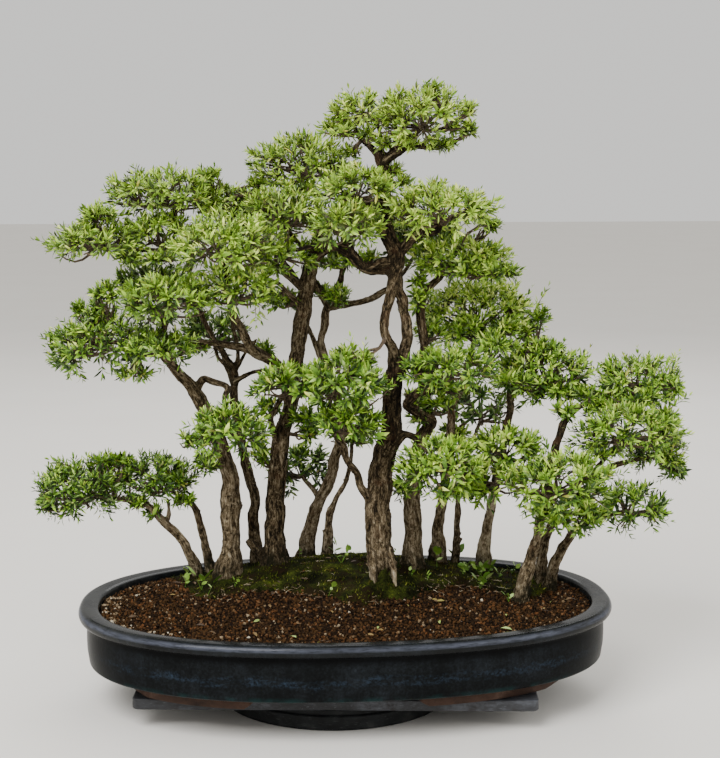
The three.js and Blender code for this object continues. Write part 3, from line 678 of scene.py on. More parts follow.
def makeGranules():
    draw = np.random.default_rng(ground["seed"])
    step = ground["grain"]
    halfX, halfY = pot["length"] / 2 - pot["lip"], pot["depth"] / 2 - pot["lip"]
    rows = np.arange(-halfY, halfY, step * 0.87)
    spots = []
    for i, y in enumerate(rows):
        x = np.arange(-halfX, halfX, step) + (step / 2 if i % 2 else 0)
        spots.append(np.stack([x, np.full(len(x), y)], 1))
    spots = np.concatenate(spots)
    spots += draw.uniform(-0.42, 0.42, spots.shape) * step
    share = ovalShare(spots[:, 0], spots[:, 1], pot["lip"] + 2.6 * mm)
    spots = spots[share < 1]
    mossy = mossShare(spots[:, 0], spots[:, 1])
    spots = spots[draw.random(len(spots)) > mossy * 0.93]
    count = len(spots)
    size = ground["smallest"] + (ground["largest"] - ground["smallest"]) * draw.random(count) ** 1.6
    z = soilHeight(spots[:, 0], spots[:, 1]) + size * draw.uniform(-0.12, 0.3, count) - 0.8 * mm
    at = np.column_stack([spots, z])
    # where water settles along the front left wall the crumbs are paler and larger
    rim = ovalShare(at[:, 0], at[:, 1])
    pale = np.clip((rim - 0.9) * 9, 0, 1) * np.clip(-at[:, 0] / halfX + 0.15, 0, 1) * (at[:, 1] < 60 * mm)
    size *= 1 + pale * 0.2
    chance = draw.random(count)
    tone = draw.uniform(0.05, 0.5, count)
    tone = np.where(chance < ground["rust"], draw.uniform(0.5, 0.66, count), tone)
    tone = np.where(chance < ground["tan"] + pale * 0.42, draw.uniform(0.7, 0.88, count), tone)
    tone = np.where(chance < ground["palest"] + pale * 0.05, draw.uniform(0.92, 1, count), tone)
    heap = Heap()
    kinds = [lump(seed, ground["push"]) for seed in range(ground["kinds"])]
    pick = draw.integers(0, len(kinds), count)
    for number, kind in enumerate(kinds):
        mine = pick == number
        along, up = turned(draw, mine.sum())
        long = size[mine]
        points = placed(kind, at[mine], along, up, long * 1.05, long * draw.uniform(0.75, 1, mine.sum()),
                        long * draw.uniform(0.65, 0.9, mine.sum()))
        marks = np.column_stack([tone[mine], draw.random(mine.sum()), np.zeros(mine.sum())])
        heap.add(kind, points, marks)
    obj = heap.piece("soil_granules")
    crumb = Finish("bakedCrumbs", Roughness=0.9, Specular_IOR_Level=0.08)
    mark, chance, _ = crumb.split(crumb.attribute("tone", "Vector"))
    body = crumb.ramp(mark, (0.0, 18, 12, 6), (0.2, 42, 29, 16), (0.42, 70, 49, 27),
                      (0.58, 98, 62, 34), (0.72, 118, 98, 72), (0.88, 150, 133, 108),
                      (1.0, 198, 188, 166))
    fleck = crumb.noise(crumb.place(), 420, 3, 0.6)
    body = crumb.mix((fleck - 0.35).kept() * 0.9, body, colour(26, 16, 10))
    crumb.set(Base_Color=body)
    crumb.bump(fleck, 0.0008, 0.8)
    keep(obj, "soil", [], [crumb])
    print("granules", count)


def makeMoss():
    draw = np.random.default_rng(ground["seed"] + 1)
    # a cushion a little above the bed wherever the ground is mossy
    bm = bmesh.new()
    bmesh.ops.create_grid(bm, x_segments=moss["grid"][0], y_segments=moss["grid"][1], size=1)
    for v in bm.verts:
        v.co.x = moss["x"] + v.co.x * moss["halfX"]
        v.co.y = moss["y"] + v.co.y * moss["halfY"]
    x = np.array([v.co.x for v in bm.verts])
    y = np.array([v.co.y for v in bm.verts])
    share = mossShare(x, y) * (ovalShare(x, y) < 0.985)
    lift = bumps(x, y, 17 * mm, 5) * 2.6 * mm + bumps(x, y, 6 * mm, 6) * 1.4 * mm + moundLift(x, y)
    height = soilHeight(x, y) - 2.4 * mm + share ** 0.6 * moss["high"] + lift * share
    for v, z in zip(bm.verts, height):
        v.co.z = z
    bm.verts.ensure_lookup_table()
    bare = [face for face in bm.faces if max(share[v.index] for v in face.verts) < 0.05]
    bmesh.ops.delete(bm, geom=bare, context="FACES")
    rim = [e for e in bm.edges if e.is_boundary]
    grown = bmesh.ops.extrude_edge_only(bm, edges=rim)["geom"]
    for v in {g for g in grown if isinstance(g, bmesh.types.BMVert)}:
        v.co.z -= 2 * mm
    cushion = pieceFrom("moss_cushion", bm)
    green = Finish("darkMoss", Roughness=0.95, Specular_IOR_Level=0.04)
    place = green.place()
    patch = green.noise(place, 30, 4, 0.6)
    nap = green.noise(place, 420, 3, 0.7)
    body = green.ramp(patch * 0.6 + nap * 0.4, (0.37, 7, 8, 2), (0.46, 19, 21, 7),
                     (0.55, 39, 45, 13), (0.68, 78, 87, 28))
    worn = green.noise(place, 22, 4, 0.65).step(0.48, 0.62)
    green.set(Base_Color=green.mix(worn * 0.8, body, colour(32, 23, 13)))
    green.bump(nap, 0.002, 0.9)
    keep(cushion, "soil", [], [green])
    # tufts: small three-sided spikes standing on it
    bm = bmesh.new()
    bmesh.ops.create_cone(bm, cap_ends=False, segments=3, radius1=0.5, radius2=0, depth=1)
    for v in bm.verts:
        v.co = Vector((v.co.z + 0.5, v.co.x, v.co.y))
    spike = shapeOf(bm)
    spots = np.column_stack([draw.uniform(-moss["halfX"], moss["halfX"], ground["tries"]) + moss["x"],
                             draw.uniform(-moss["halfY"], moss["halfY"], ground["tries"]) + moss["y"]])
    share = mossShare(spots[:, 0], spots[:, 1]) * (ovalShare(spots[:, 0], spots[:, 1]) < 0.97)
    clump = bumps(spots[:, 0], spots[:, 1], 12 * mm, 9)
    spots = spots[draw.random(len(spots)) < share * np.clip(0.5 + clump * 1.6, 0.05, 1)][:ground["tufts"]]
    count = len(spots)
    x, y = spots.T
    at = np.column_stack([spots, soilHeight(x, y) + 0.6 * mm + moundLift(x, y)])
    along = unit(draw.normal(size=(count, 3)) * (0.55, 0.55, 0.2) + (0, 0, 0.8))
    up = unit(draw.normal(size=(count, 3)))
    heap = Heap()
    long = draw.uniform(2.5, 6.5, count) * mm
    wide, thick = (draw.uniform(1.2, 2.2, count) * mm for _ in range(2))
    points = placed(spike, at, along, up, long, wide, thick)
    heap.add(spike, points, np.column_stack([draw.random(count), draw.random(count), np.zeros(count)]))
    tuft = Finish("mossTufts", Roughness=0.9, Specular_IOR_Level=0.05)
    mark, _, _ = tuft.split(tuft.attribute("tone", "Vector"))
    patch = tuft.noise(tuft.place(), 30, 4, 0.6)
    tuft.set(Base_Color=tuft.ramp(mark * 0.6 + patch * 0.5, (0.2, 12, 13, 4), (0.45, 32, 37, 10),
                                  (0.62, 70, 82, 21), (0.76, 62, 46, 23), (0.9, 134, 142, 52)))
    keep(heap.piece("moss_tufts"), "soil", [], [tuft])


def makeStraws():
    # pale straws, root hairs and bits of twig that lie on the moss and its edge
    draw = np.random.default_rng(ground["seed"] + 2)
    curve = bpy.data.curves.new("straws", "CURVE")
    curve.dimensions = "3D"
    curve.bevel_depth = 1
    curve.bevel_resolution = 0
    curve.use_fill_caps = True
    edgeX, edgeY = zip(*mossEdge)
    for number in range(ground["straws"]):
        x = draw.uniform(-215, 250) * mm
        y = draw.uniform(-30, 150) * mm
        if number % 2:
            y = (float(np.interp(x / mm, edgeX, edgeY)) + draw.normal(6, 14)) * mm
        turn = draw.uniform(0, 2 * math.pi)
        bend = draw.uniform(-1.4, 1.4)
        long = (4 + 14 * draw.random() ** 2) * mm
        thick = draw.uniform(0.22, 0.45) * mm
        spline = curve.splines.new("POLY")
        spline.points.add(5)
        for i, point in enumerate(spline.points):
            point.co = (x, y, float(soilHeight(x, y)) + 2.2 * mm + draw.uniform(0, 1.6) * mm, 1)
            point.radius = thick * (1 - 0.1 * i)
            x += math.cos(turn) * long / 5
            y += math.sin(turn) * long / 5
            turn += bend / 5
    straws = bpy.data.objects.new("straws", curve)
    bpy.context.scene.collection.objects.link(straws)
    dry = Finish("dryStraw", Roughness=0.7)
    grain = dry.noise(dry.place(), 60, 3)
    dry.set(Base_Color=dry.ramp(grain, (0.35, 84, 66, 46), (0.5, 134, 116, 90),
                                (0.62, 192, 180, 154)))
    keep(asMesh(straws), "soil", [], [dry])


def asMesh(obj):
    # a curve object as a mesh object of the same name
    shown = obj.evaluated_get(bpy.context.evaluated_depsgraph_get())
    mesh = bpy.data.meshes.new_from_object(shown)
    mesh.materials.clear()
    name = obj.name
    curve = obj.data
    bpy.data.objects.remove(obj)
    bpy.data.curves.remove(curve)
    made = bpy.data.objects.new(name, mesh)
    bpy.context.scene.collection.objects.link(made)
    return made


makeSoilBed()
makeGranules()
makeMoss()
makeStraws()
print("soil made")


# wood: routes of [x, y, z, radius] in mm, the trunk first
trees = {
    "tree_far_left": [
        [[-216, 130, 150, 9], [-230, 130, 186, 7], [-243, 130, 207, 7], [-261, 128, 224, 6.5],
         [-284, 124, 252, 5.5], [-299, 122, 261, 5], [-328, 120, 266, 4], [-362, 120, 271, 3]],
        [[-261, 128, 224, 4], [-256, 131, 240, 3.5], [-258, 133, 262, 2.6]],
    ],
    "tree_left_upright": [
        [[-195, 137, 150, 8], [-203, 137, 189, 6.5], [-210, 137, 220, 6], [-217, 136, 246, 5],
         [-232, 136, 260, 4.5], [-252, 136, 272, 3]],
    ],
    "tree_left_major": [
        [[-168, 80, 155, 20], [-166, 80, 185, 16], [-165, 80, 209, 13.5], [-165, 80, 240, 14],
         [-165, 80, 262, 15.5], [-166, 80, 285, 14], [-165, 80, 307, 12.5], [-177, 80, 348, 11.5],
         [-193, 80, 389, 11], [-207, 80, 419, 10.5], [-223, 78, 443, 9], [-242, 72, 466, 8],
         [-257, 62, 486, 7], [-271, 50, 500, 6], [-295, 48, 506, 5], [-322, 48, 508, 4], [-347, 50, 512, 3]],
        [[-242, 72, 466, 6], [-250, 50, 500, 5], [-256, 25, 530, 4.5], [-254, 8, 556, 3]],
        [[-213, 80, 430, 6.5], [-203, 78, 450, 5.5], [-185, 72, 446, 5], [-168, 60, 440, 4.5],
         [-172, 35, 424, 4], [-166, 8, 404, 3]],
    ],
    "tree_left_slender": [
        [[-124, 122, 155, 10], [-131, 122, 230, 8.5], [-126, 122, 260, 8], [-132, 122, 283, 8],
         [-140, 122, 314, 7.5], [-145, 124, 337, 7], [-152, 127, 374, 7], [-156, 132, 405, 6.5],
         [-157, 134, 454, 6], [-170, 124, 478, 4.6], [-195, 117, 520, 4.2], [-215, 113, 580, 4.2],
         [-225, 110, 640, 4], [-242, 110, 700, 3]],
        [[-157, 134, 454, 4.4], [-150, 140, 480, 3.6], [-158, 150, 530, 3.4], [-168, 150, 610, 3.4],
         [-168, 134, 694, 3]],
        [[-156, 133, 430, 4.5], [-170, 160, 468, 4], [-183, 186, 494, 3]],
        [[-156, 130, 438, 4.5], [-133, 120, 452, 3.4], [-110, 110, 459, 2.8]],
        [[-225, 110, 638, 4], [-262, 100, 636, 3.5], [-302, 88, 638, 3.5], [-345, 80, 647, 3]],
        [[-205, 115, 550, 4], [-235, 132, 562, 3.5], [-262, 146, 571, 3]],
        [[-158, 134, 450, 3.4], [-176, 130, 470, 2.8], [-186, 126, 492, 2.4]],
        [[-156, 134, 452, 3.2], [-146, 130, 470, 2.6], [-136, 124, 488, 2.2]],
    ],
    "tree_left_centre": [
        [[-96, 92, 155, 22], [-98, 94, 185, 17], [-99, 95, 219, 15], [-98, 95, 265, 14.5],
         [-95, 95, 303, 14], [-91, 92, 340, 13.5], [-86, 90, 372, 12], [-72, 95, 410, 9.5],
         [-68, 95, 456, 11], [-63, 97, 489, 11.5], [-57, 98, 533, 12], [-53, 98, 562, 11.5],
         [-45, 98, 606, 11.5], [-40, 98, 632, 10], [-31, 100, 670, 6.5], [-33, 104, 705, 5],
         [-46, 108, 740, 3.5]],
        [[-86, 90, 367, 9.5], [-80, 84, 400, 9], [-78, 82, 432, 8.5], [-87, 78, 460, 8], [-107, 70, 479, 8],
         [-126, 60, 490, 7.5], [-140, 45, 512, 7], [-148, 30, 530, 6.5], [-159, 12, 552, 6],
         [-167, -4, 590, 5], [-170, -14, 630, 3.5]],
        [[-38, 98, 634, 5], [-58, 85, 642, 4.5], [-80, 66, 668, 3]],
        [[-92, 92, 345, 6.5], [-104, 62, 384, 5], [-100, 30, 414, 4], [-80, 2, 440, 3]],
        [[-50, 98, 570, 5], [-72, 130, 602, 4.5], [-96, 165, 638, 3.5], [-106, 184, 656, 3]],
        [[-107, 70, 479, 7.5], [-130, 74, 492, 7], [-160, 68, 500, 6], [-190, 58, 505, 5],
         [-217, 48, 508, 3.5]],
        [[-50, 98, 572, 6], [-60, 98, 583, 5.5], [-82, 92, 601, 4.5], [-103, 90, 618, 3.5],
         [-121, 88, 633, 2.8]],
        [[-52, 98, 552, 5.5], [-75, 80, 570, 4.2], [-90, 70, 588, 3.4], [-105, 60, 595, 2.8]],
        [[-42, 98, 612, 6], [-23, 90, 632, 4.5], [5, 80, 642, 3.6], [25, 60, 626, 2.8]],
        [[-106, 98, 165, 11], [-118, 98, 180, 8], [-129, 96, 194, 6.5], [-139, 93, 206, 5]],
        [[-50, 98, 580, 8], [-42, 100, 590, 6.5], [-27, 114, 567, 5.5], [-17, 130, 549, 5]],
    ],
    "tree_back_left": [
        [[-50, 165, 155, 13], [-39, 165, 217, 10], [-27, 165, 248, 9.5], [-12, 165, 279, 9],
         [-4, 163, 310, 8.5], [4, 160, 341, 8], [7, 155, 364, 8], [0, 150, 400, 7.5], [-12, 145, 440, 7],
         [-24, 140, 480, 6.5], [-26, 138, 502, 6], [-20, 137, 525, 6.5], [-17, 135, 548, 6.5],
         [-1, 130, 583, 5.5], [8, 122, 612, 4.5], [17, 112, 650, 4], [22, 106, 678, 3]],
        [[-19, 135, 546, 5.6], [4, 126, 551, 5.4], [34, 112, 558, 5.3], [62, 98, 572, 4.8],
         [88, 104, 594, 3.5], [118, 140, 628, 3]],
        [[-27, 165, 248, 5], [-38, 182, 264, 4], [-53, 204, 280, 3]],
        [[-25, 141, 468, 5], [-32, 138, 482, 4.5], [-40, 125, 504, 4], [-50, 104, 522, 4.5]],
    ],
    "tree_back_thin": [
        [[-18, 142, 155, 8.5], [-16, 140, 200, 7.5], [-14, 139, 232, 6], [-6, 137, 252, 4.5],
         [8, 140, 276, 4], [19, 155, 308, 3.5], [24, 188, 334, 3]],
    ],
    "tree_main": [
        [[51, 6, 160, 17], [50, 5, 190, 19], [48, 6, 222, 19.5], [46, 8, 266, 19], [49, 10, 310, 18],
         [55, 10, 346, 17], [66, 12, 383, 15], [66, 14, 426, 13.5], [70, 15, 462, 12], [71, 15, 480, 11],
         [66, 9, 500, 7.8], [56, 3, 520, 7.2], [54, 2, 534, 7], [58, 6, 558, 7.2], [65, 12, 583, 8],
         [70, 16, 607, 10], [73, 18, 622, 12.5], [70, 18, 640, 12], [60, 16, 661, 11], [53, 14, 689, 10],
         [56, 14, 717, 9.5], [60, 15, 745, 8], [50, 15, 762, 7], [42, 18, 778, 5.5], [22, 26, 796, 4],
         [14, 30, 814, 3]],
        [[74, 15, 458, 9], [83, 18, 474, 8.6], [88, 22, 494, 8.6], [89, 25, 528, 8.4], [83, 24, 560, 7.8],
         [75, 20, 587, 8.4], [73, 18, 614, 9]],
        [[40, 9, 268, 6], [31, 2, 285, 6], [14, -8, 320, 5.8], [-2, -20, 353, 5.5], [-14, -32, 377, 5],
         [-24, -44, 398, 4]],
        [[50, 13, 760, 5.5], [65, 10, 773, 5], [84, 6, 785, 4.5], [106, 0, 808, 3]],
        [[74, 18, 630, 8], [84, 15, 644, 7.5], [102, 10, 661, 7], [127, 5, 668, 5.5], [140, 2, 688, 3.5]],
        [[66, 16, 624, 7], [49, 5, 624, 6], [27, -10, 618, 5.5], [9, -25, 634, 5], [-2, -36, 660, 3.5]],
        [[54, 14, 690, 5], [38, 4, 700, 4], [20, -6, 714, 3]],
        [[66, 16, 612, 7.5], [27, 8, 612, 5.5], [5, 0, 633, 5], [-16, 0, 643, 4.5], [-38, 20, 646, 4],
         [-62, 40, 640, 3.5], [-90, 50, 636, 2.8]],
        [[56, 15, 762, 5], [70, 12, 789, 3.6], [79, 8, 810, 2.6]],
        [[58, 14, 764, 5], [84, 8, 780, 4], [101, 6, 784, 3.4], [122, 2, 782, 3], [150, 0, 790, 2.5]],
        [[100, 5, 785, 3.2], [120, 0, 796, 2.8], [139, -4, 810, 2.4]],
        [[54, 16, 766, 4], [50, 22, 798, 3], [44, 26, 824, 2.4]],
        [[60, 10, 326, 8], [65, 8, 346, 7], [73, 5, 366, 6.5], [84, 4, 377, 6], [97, 6, 373, 5.5],
         [108, 14, 360, 5], [113, 28, 346, 4]],
        [[43, -2, 214, 9], [37, -10, 196, 6], [37, -17, 180, 4], [41, -23, 162, 2.6]],
        [[60, -3, 212, 8], [65, -12, 194, 5.5], [67, -19, 176, 4], [68, -24, 156, 2.8]],
    ],
    "tree_right_centre": [
        [[103, 64, 160, 17], [104, 65, 200, 14], [104, 65, 237, 13.5], [102, 65, 268, 13],
         [107, 65, 313, 12], [114, 62, 357, 10.5], [126, 58, 382, 9.5], [121, 58, 417, 9],
         [118, 60, 461, 8], [118, 60, 505, 7.5], [113, 62, 549, 7], [120, 65, 575, 6.5], [135, 68, 590, 6],
         [156, 70, 612, 3.5]],
        [[122, 60, 372, 8], [128, 38, 391, 8], [108, 26, 402, 8], [91, 10, 417, 7.5], [97, -6, 436, 7],
         [114, -22, 450, 6], [134, -36, 468, 4]],
    ],
    "tree_back_right": [
        [[146, 107, 155, 13], [147, 107, 184, 12.5], [147, 107, 204, 9], [149, 107, 226, 8.5],
         [153, 108, 250, 8], [160, 110, 288, 7.5], [165, 115, 330, 7], [168, 122, 364, 6.5],
         [171, 128, 395, 6], [182, 135, 417, 5.5], [191, 140, 440, 5], [200, 145, 470, 4.5],
         [210, 150, 504, 3]],
        [[167, 120, 350, 4], [188, 146, 362, 3.5], [212, 170, 376, 2.8]],
    ],
    "tree_thin_right": [
        [[178, 128, 150, 6.5], [180, 130, 223, 5], [182, 132, 262, 4.5], [190, 140, 295, 4],
         [204, 156, 330, 3.5], [222, 176, 366, 2.8]],
    ],
    "tree_right": [
        [[215, 100, 148, 12], [217, 100, 180, 11], [219, 100, 204, 8.5], [225, 100, 240, 7.5],
         [238, 100, 303, 7], [248, 100, 364, 6], [255, 102, 402, 5.5], [258, 104, 424, 5],
         [288, 109, 448, 3]],
        [[256, 102, 408, 5], [248, 96, 436, 4], [228, 86, 445, 3.5], [208, 76, 448, 2.8]],
        [[258, 103, 416, 4.5], [284, 104, 429, 4], [311, 108, 433, 3.5], [336, 112, 444, 2.8]],
        [[232, 100, 280, 4.5], [228, 70, 302, 4], [222, 42, 318, 4], [230, 16, 340, 3]],
        [[223, 46, 316, 3.5], [216, 14, 308, 3], [212, -8, 306, 2.6]],
    ],
    "tree_right_front": [
        [[248, -26, 140, 11], [263, -22, 192, 9], [270, -20, 217, 8], [277, -20, 246, 7.5],
         [284, -14, 285, 7], [296, 0, 328, 6.5], [306, 10, 360, 6], [317, 24, 381, 5.5], [332, 42, 396, 5],
         [360, 64, 408, 4.5], [402, 80, 422, 4], [440, 88, 430, 3]],
        [[277, -20, 248, 5.5], [285, -40, 275, 4.5], [293, -62, 302, 3]],
    ],
    "tree_far_right_back": [
        [[296, 62, 145, 9], [301, 61, 197, 7], [309, 59, 223, 6.5], [322, 58, 250, 6], [340, 58, 278, 5.5],
         [368, 60, 300, 5], [398, 64, 312, 4.5], [430, 68, 320, 4], [466, 70, 328, 3]],
        [[368, 60, 300, 4.5], [386, 42, 330, 4], [404, 24, 360, 3]],
    ],
    "tree_far_right_front": [
        [[302, 30, 140, 9], [316, 26, 191, 7.5], [329, 22, 213, 7], [342, 17, 234, 6], [370, 8, 248, 5],
         [408, -6, 262, 3]],
    ],
}
# which of them have the darker bark, and how many surface roots a foot shows
darkTrees = {
    "tree_left_upright", "tree_left_slender", "tree_left_centre", "tree_back_right", "tree_thin_right",
    "tree_right",
}
surfaceRoots = {"tree_left_major": 3}


bark = {
    "seed": 21, "step": 5 * mm, "finest": 1.9 * mm, "coarsest": 2.3 * mm, "rootDepth": 30 * mm, "stubs": 2,
    "keep": 0.4, "stout": 6.5 * mm, "darker": 0.015, "deepest": 2.2 * mm,
    # how much trunks, limbs and roots sway, and how far and high a foot flares
    "trunkSway": 0.34, "limbSway": 0.62, "rootSway": 0.5,
    "flare": 0.3, "mainFlare": 0.03, "flareHigh": 18 * mm,
    # ridges and cracks: their width and length in mm, and depth as a share of the radius
    "ridges": ((6, 60, 0.06), (4.5, 14, 0.075)),
    # the knots of a short root: how far out, how high in mm, and how thick
    "rootKnots": ((0.15, 22, 0.42), (0.5, 1, 0.34), (1, -22, 0.14)),
}
# how pale each tree's bark is, at heights in mm above the soil: the bark's own paleness, with painted
# shade that darkens the upper limbs
barkPaleAndShade = {
    "tree_far_left": ((150, 0.8), (350, 0.72)), "tree_left_upright": ((150, 0.7), (350, 0.62)),
    "tree_left_major": ((150, 0.64), (350, 0.46)), "tree_left_slender": ((150, 0.5), (350, 0.4)),
    "tree_left_centre": ((150, 0.44), (350, 0.6), (410, 0.56), (470, 0.28)),
    "tree_back_left": ((150, 0.8), (350, 0.68), (430, 0.4)), "tree_back_thin": ((150, 0.7), (350, 0.6)),
    "tree_main": ((110, 0.6), (190, 0.34), (235, 0.06), (300, 0.06), (350, 0.46), (410, 0.4), (470, 0.1)),
    "tree_right_centre": ((130, 0.76), (200, 0.45), (250, 0.24), (400, 0.34)),
    "tree_back_right": ((150, 0.8), (350, 0.7)), "tree_thin_right": ((150, 0.75), (350, 0.65)),
    "tree_right": ((110, 1.15), (200, 0.6)), "tree_right_front": ((110, 0.6), (210, 0.14)),
    "tree_far_right_back": ((150, 0.6), (350, 0.5)), "tree_far_right_front": ((150, 0.66), (350, 0.5)),
}


def rootRoutes(foot, count):
    # short surface roots that flare out of a trunk's foot
    x, y, z, radius = foot
    turn = x
    routes = []
    for i in range(count):
        angle = turn + 2 * math.pi * i / count + 0.35 * math.sin(5 * i + turn)
        reach = radius * (1.65 + 0.45 * math.sin(3 * i + 2 * turn))
        c, s = math.cos(angle) * reach, math.sin(angle) * reach
        routes.append([[x + c * share, y + s * share, z + height, radius * thick]
                       for share, height, thick in bark["rootKnots"]])
    return routes


def smoothRoute(route, step, wobble, seed):
    # points and radii in metres along a route, rounded through its corners, with small bends of its own
    knots = np.array(route, dtype=float) * mm
    ends = np.vstack([2 * knots[0] - knots[1], knots, 2 * knots[-1] - knots[-2]])
    ends[:, 3] = np.maximum(ends[:, 3], 0.8 * mm)
    rows = []
    for a, b, c, d in zip(ends, ends[1:], ends[2:], ends[3:]):
        count = max(2, round(np.linalg.norm((c - b)[:3]) / step))
        t = np.arange(count)[:, None] / count
        square, cube = 2 * a - 5 * b + 4 * c - d, 3 * b - a - 3 * c + d
        rows.append(0.5 * (2 * b + (c - a) * t + square * t ** 2 + cube * t ** 3))
    line = np.vstack(rows + [knots[-1:]])
    arc = arcOf(line)
    fade = np.minimum(1, arc / (30 * mm))
    for axis in range(2):
        bend = np.array([noise.noise((s / (26 * mm), seed, axis)) for s in arc])
        line[:, axis] += bend * wobble * (np.minimum(line[:, 3], 6 * mm) + 2 * mm) * fade
    swell = np.array([noise.noise((s / (20 * mm), seed, 5)) + 0.6 * noise.noise((s / (9 * mm), seed, 8))
                      for s in arc])
    line[:, 3] *= 1 + 0.24 * swell * fade * np.minimum(1, 5 * mm / line[:, 3])
    return line


def arcOf(line):
    return np.concatenate([[0], np.cumsum(np.linalg.norm(np.diff(line[:, :3], axis=0), axis=1))])


def turningFrame(line):
    # directions along, aside and across at each point, carried on without twist
    ahead = unit(np.gradient(line[:, :3], axis=0))
    side = np.zeros_like(ahead)
    side[0] = unit(np.cross(ahead[0], (0.3, 1, 0.1)))
    for i in range(1, len(line)):
        side[i] = unit(side[i - 1] - ahead[i] * (side[i - 1] @ ahead[i]))
    return ahead, side, np.cross(ahead, side)


def tubesOf(name, lines, fullness=2):
    # round tubes along lines of points and radii
    curve = bpy.data.curves.new(name, "CURVE")
    curve.dimensions = "3D"
    curve.bevel_depth = 1
    curve.bevel_resolution = fullness
    curve.use_fill_caps = True
    for line in lines:
        spline = curve.splines.new("POLY")
        spline.points.add(len(line) - 1)
        for point, (x, y, z, radius) in zip(spline.points, line):
            point.co = (x, y, z, 1)
            point.radius = radius
    obj = bpy.data.objects.new(name, curve)
    bpy.context.scene.collection.objects.link(obj)
    return obj


def stub(line, seed):
    # a short dead side shoot or knot somewhere on a limb
    draw = np.random.default_rng(seed * 13 + 1)
    x, y, z, radius = line[draw.integers(len(line) // 4, len(line) - 3)]
    turn = draw.uniform(0, 2 * math.pi)
    long = draw.uniform(1.1, 1.5) * radius + draw.uniform(0, 4) * mm
    thick = min(radius * 0.55, 4.5 * mm)
    c, s = math.cos(turn) * long, math.sin(turn) * long
    return np.array([[x + c * t, y + s * t, z + long * t * (0.25 + 0.7 * t),
                      max(thick * (1 - 0.45 * t), 1.5 * mm)] for t in (0, 0.5, 1)])


def barkFinish(name, *shades):
    wood = Finish(name, Roughness=0.9, Specular_IOR_Level=0.1)
    grain = wood.attribute("grain", "Vector")
    pale, damp, _ = wood.split(wood.attribute("tone", "Vector"))
    fibre = wood.noise(wood.stretch(grain, 1, 1, 0.12), 380, 5, 0.75, 0.9)
    streak = wood.noise(wood.stretch(grain, 1, 1, 0.2), 120, 3, 0.6, 0.5)
    flake = wood.noise(wood.stretch(grain, 1, 1, 0.55), 240, 4, 0.7, 0.8)
    rough = fibre * 0.38 + streak * 0.22 + flake * 0.4
    body = wood.ramp((rough - 0.5) * 1.4 + 0.5 + (pale - 0.5) * 0.16, *shades)
    red = wood.noise(grain, 32, 3).step(0.54, 0.68)
    body = wood.mix(red * 0.3, body, colour(88, 60, 42))
    green = wood.noise(wood.place(), 45, 4, 0.65).step(0.48, 0.62)
    wetness = damp * (0.45 + green * 0.9)
    body = wood.mix(wetness.kept() * 0.9, body, colour(20, 21, 9))
    wood.set(Base_Color=body, Roughness=0.82 + fibre * 0.18)
    wood.bump(fibre * 0.6 + streak * 0.3 + flake * 0.5, 0.006, 1)
    return wood


def pointsOf(mesh):
    # a mesh's points and the directions that its surface faces there
    points, normals = np.empty((2, len(mesh.vertices) * 3))
    mesh.vertices.foreach_get("co", points)
    mesh.vertex_normals.foreach_get("vector", normals)
    return points.reshape(-1, 3), normals.reshape(-1, 3)


def onLimb(points, spots, ways, arcs):
    # where each point lies on its nearest limb: aside, across, along, and the limb's radius
    nearest = np.empty(len(points), dtype=int)
    batch = 3000
    for start in range(0, len(points), batch):
        some = slice(start, start + batch)
        gap = np.linalg.norm(points[some, None] - spots[None, :, :3], axis=2) - spots[None, :, 3]
        nearest[some] = gap.argmin(axis=1)
    offset = points - spots[nearest, :3]
    along, u, v = ((offset * way[nearest]).sum(axis=1) for way in ways)
    return u, v, arcs[nearest] + along, spots[nearest, 3]


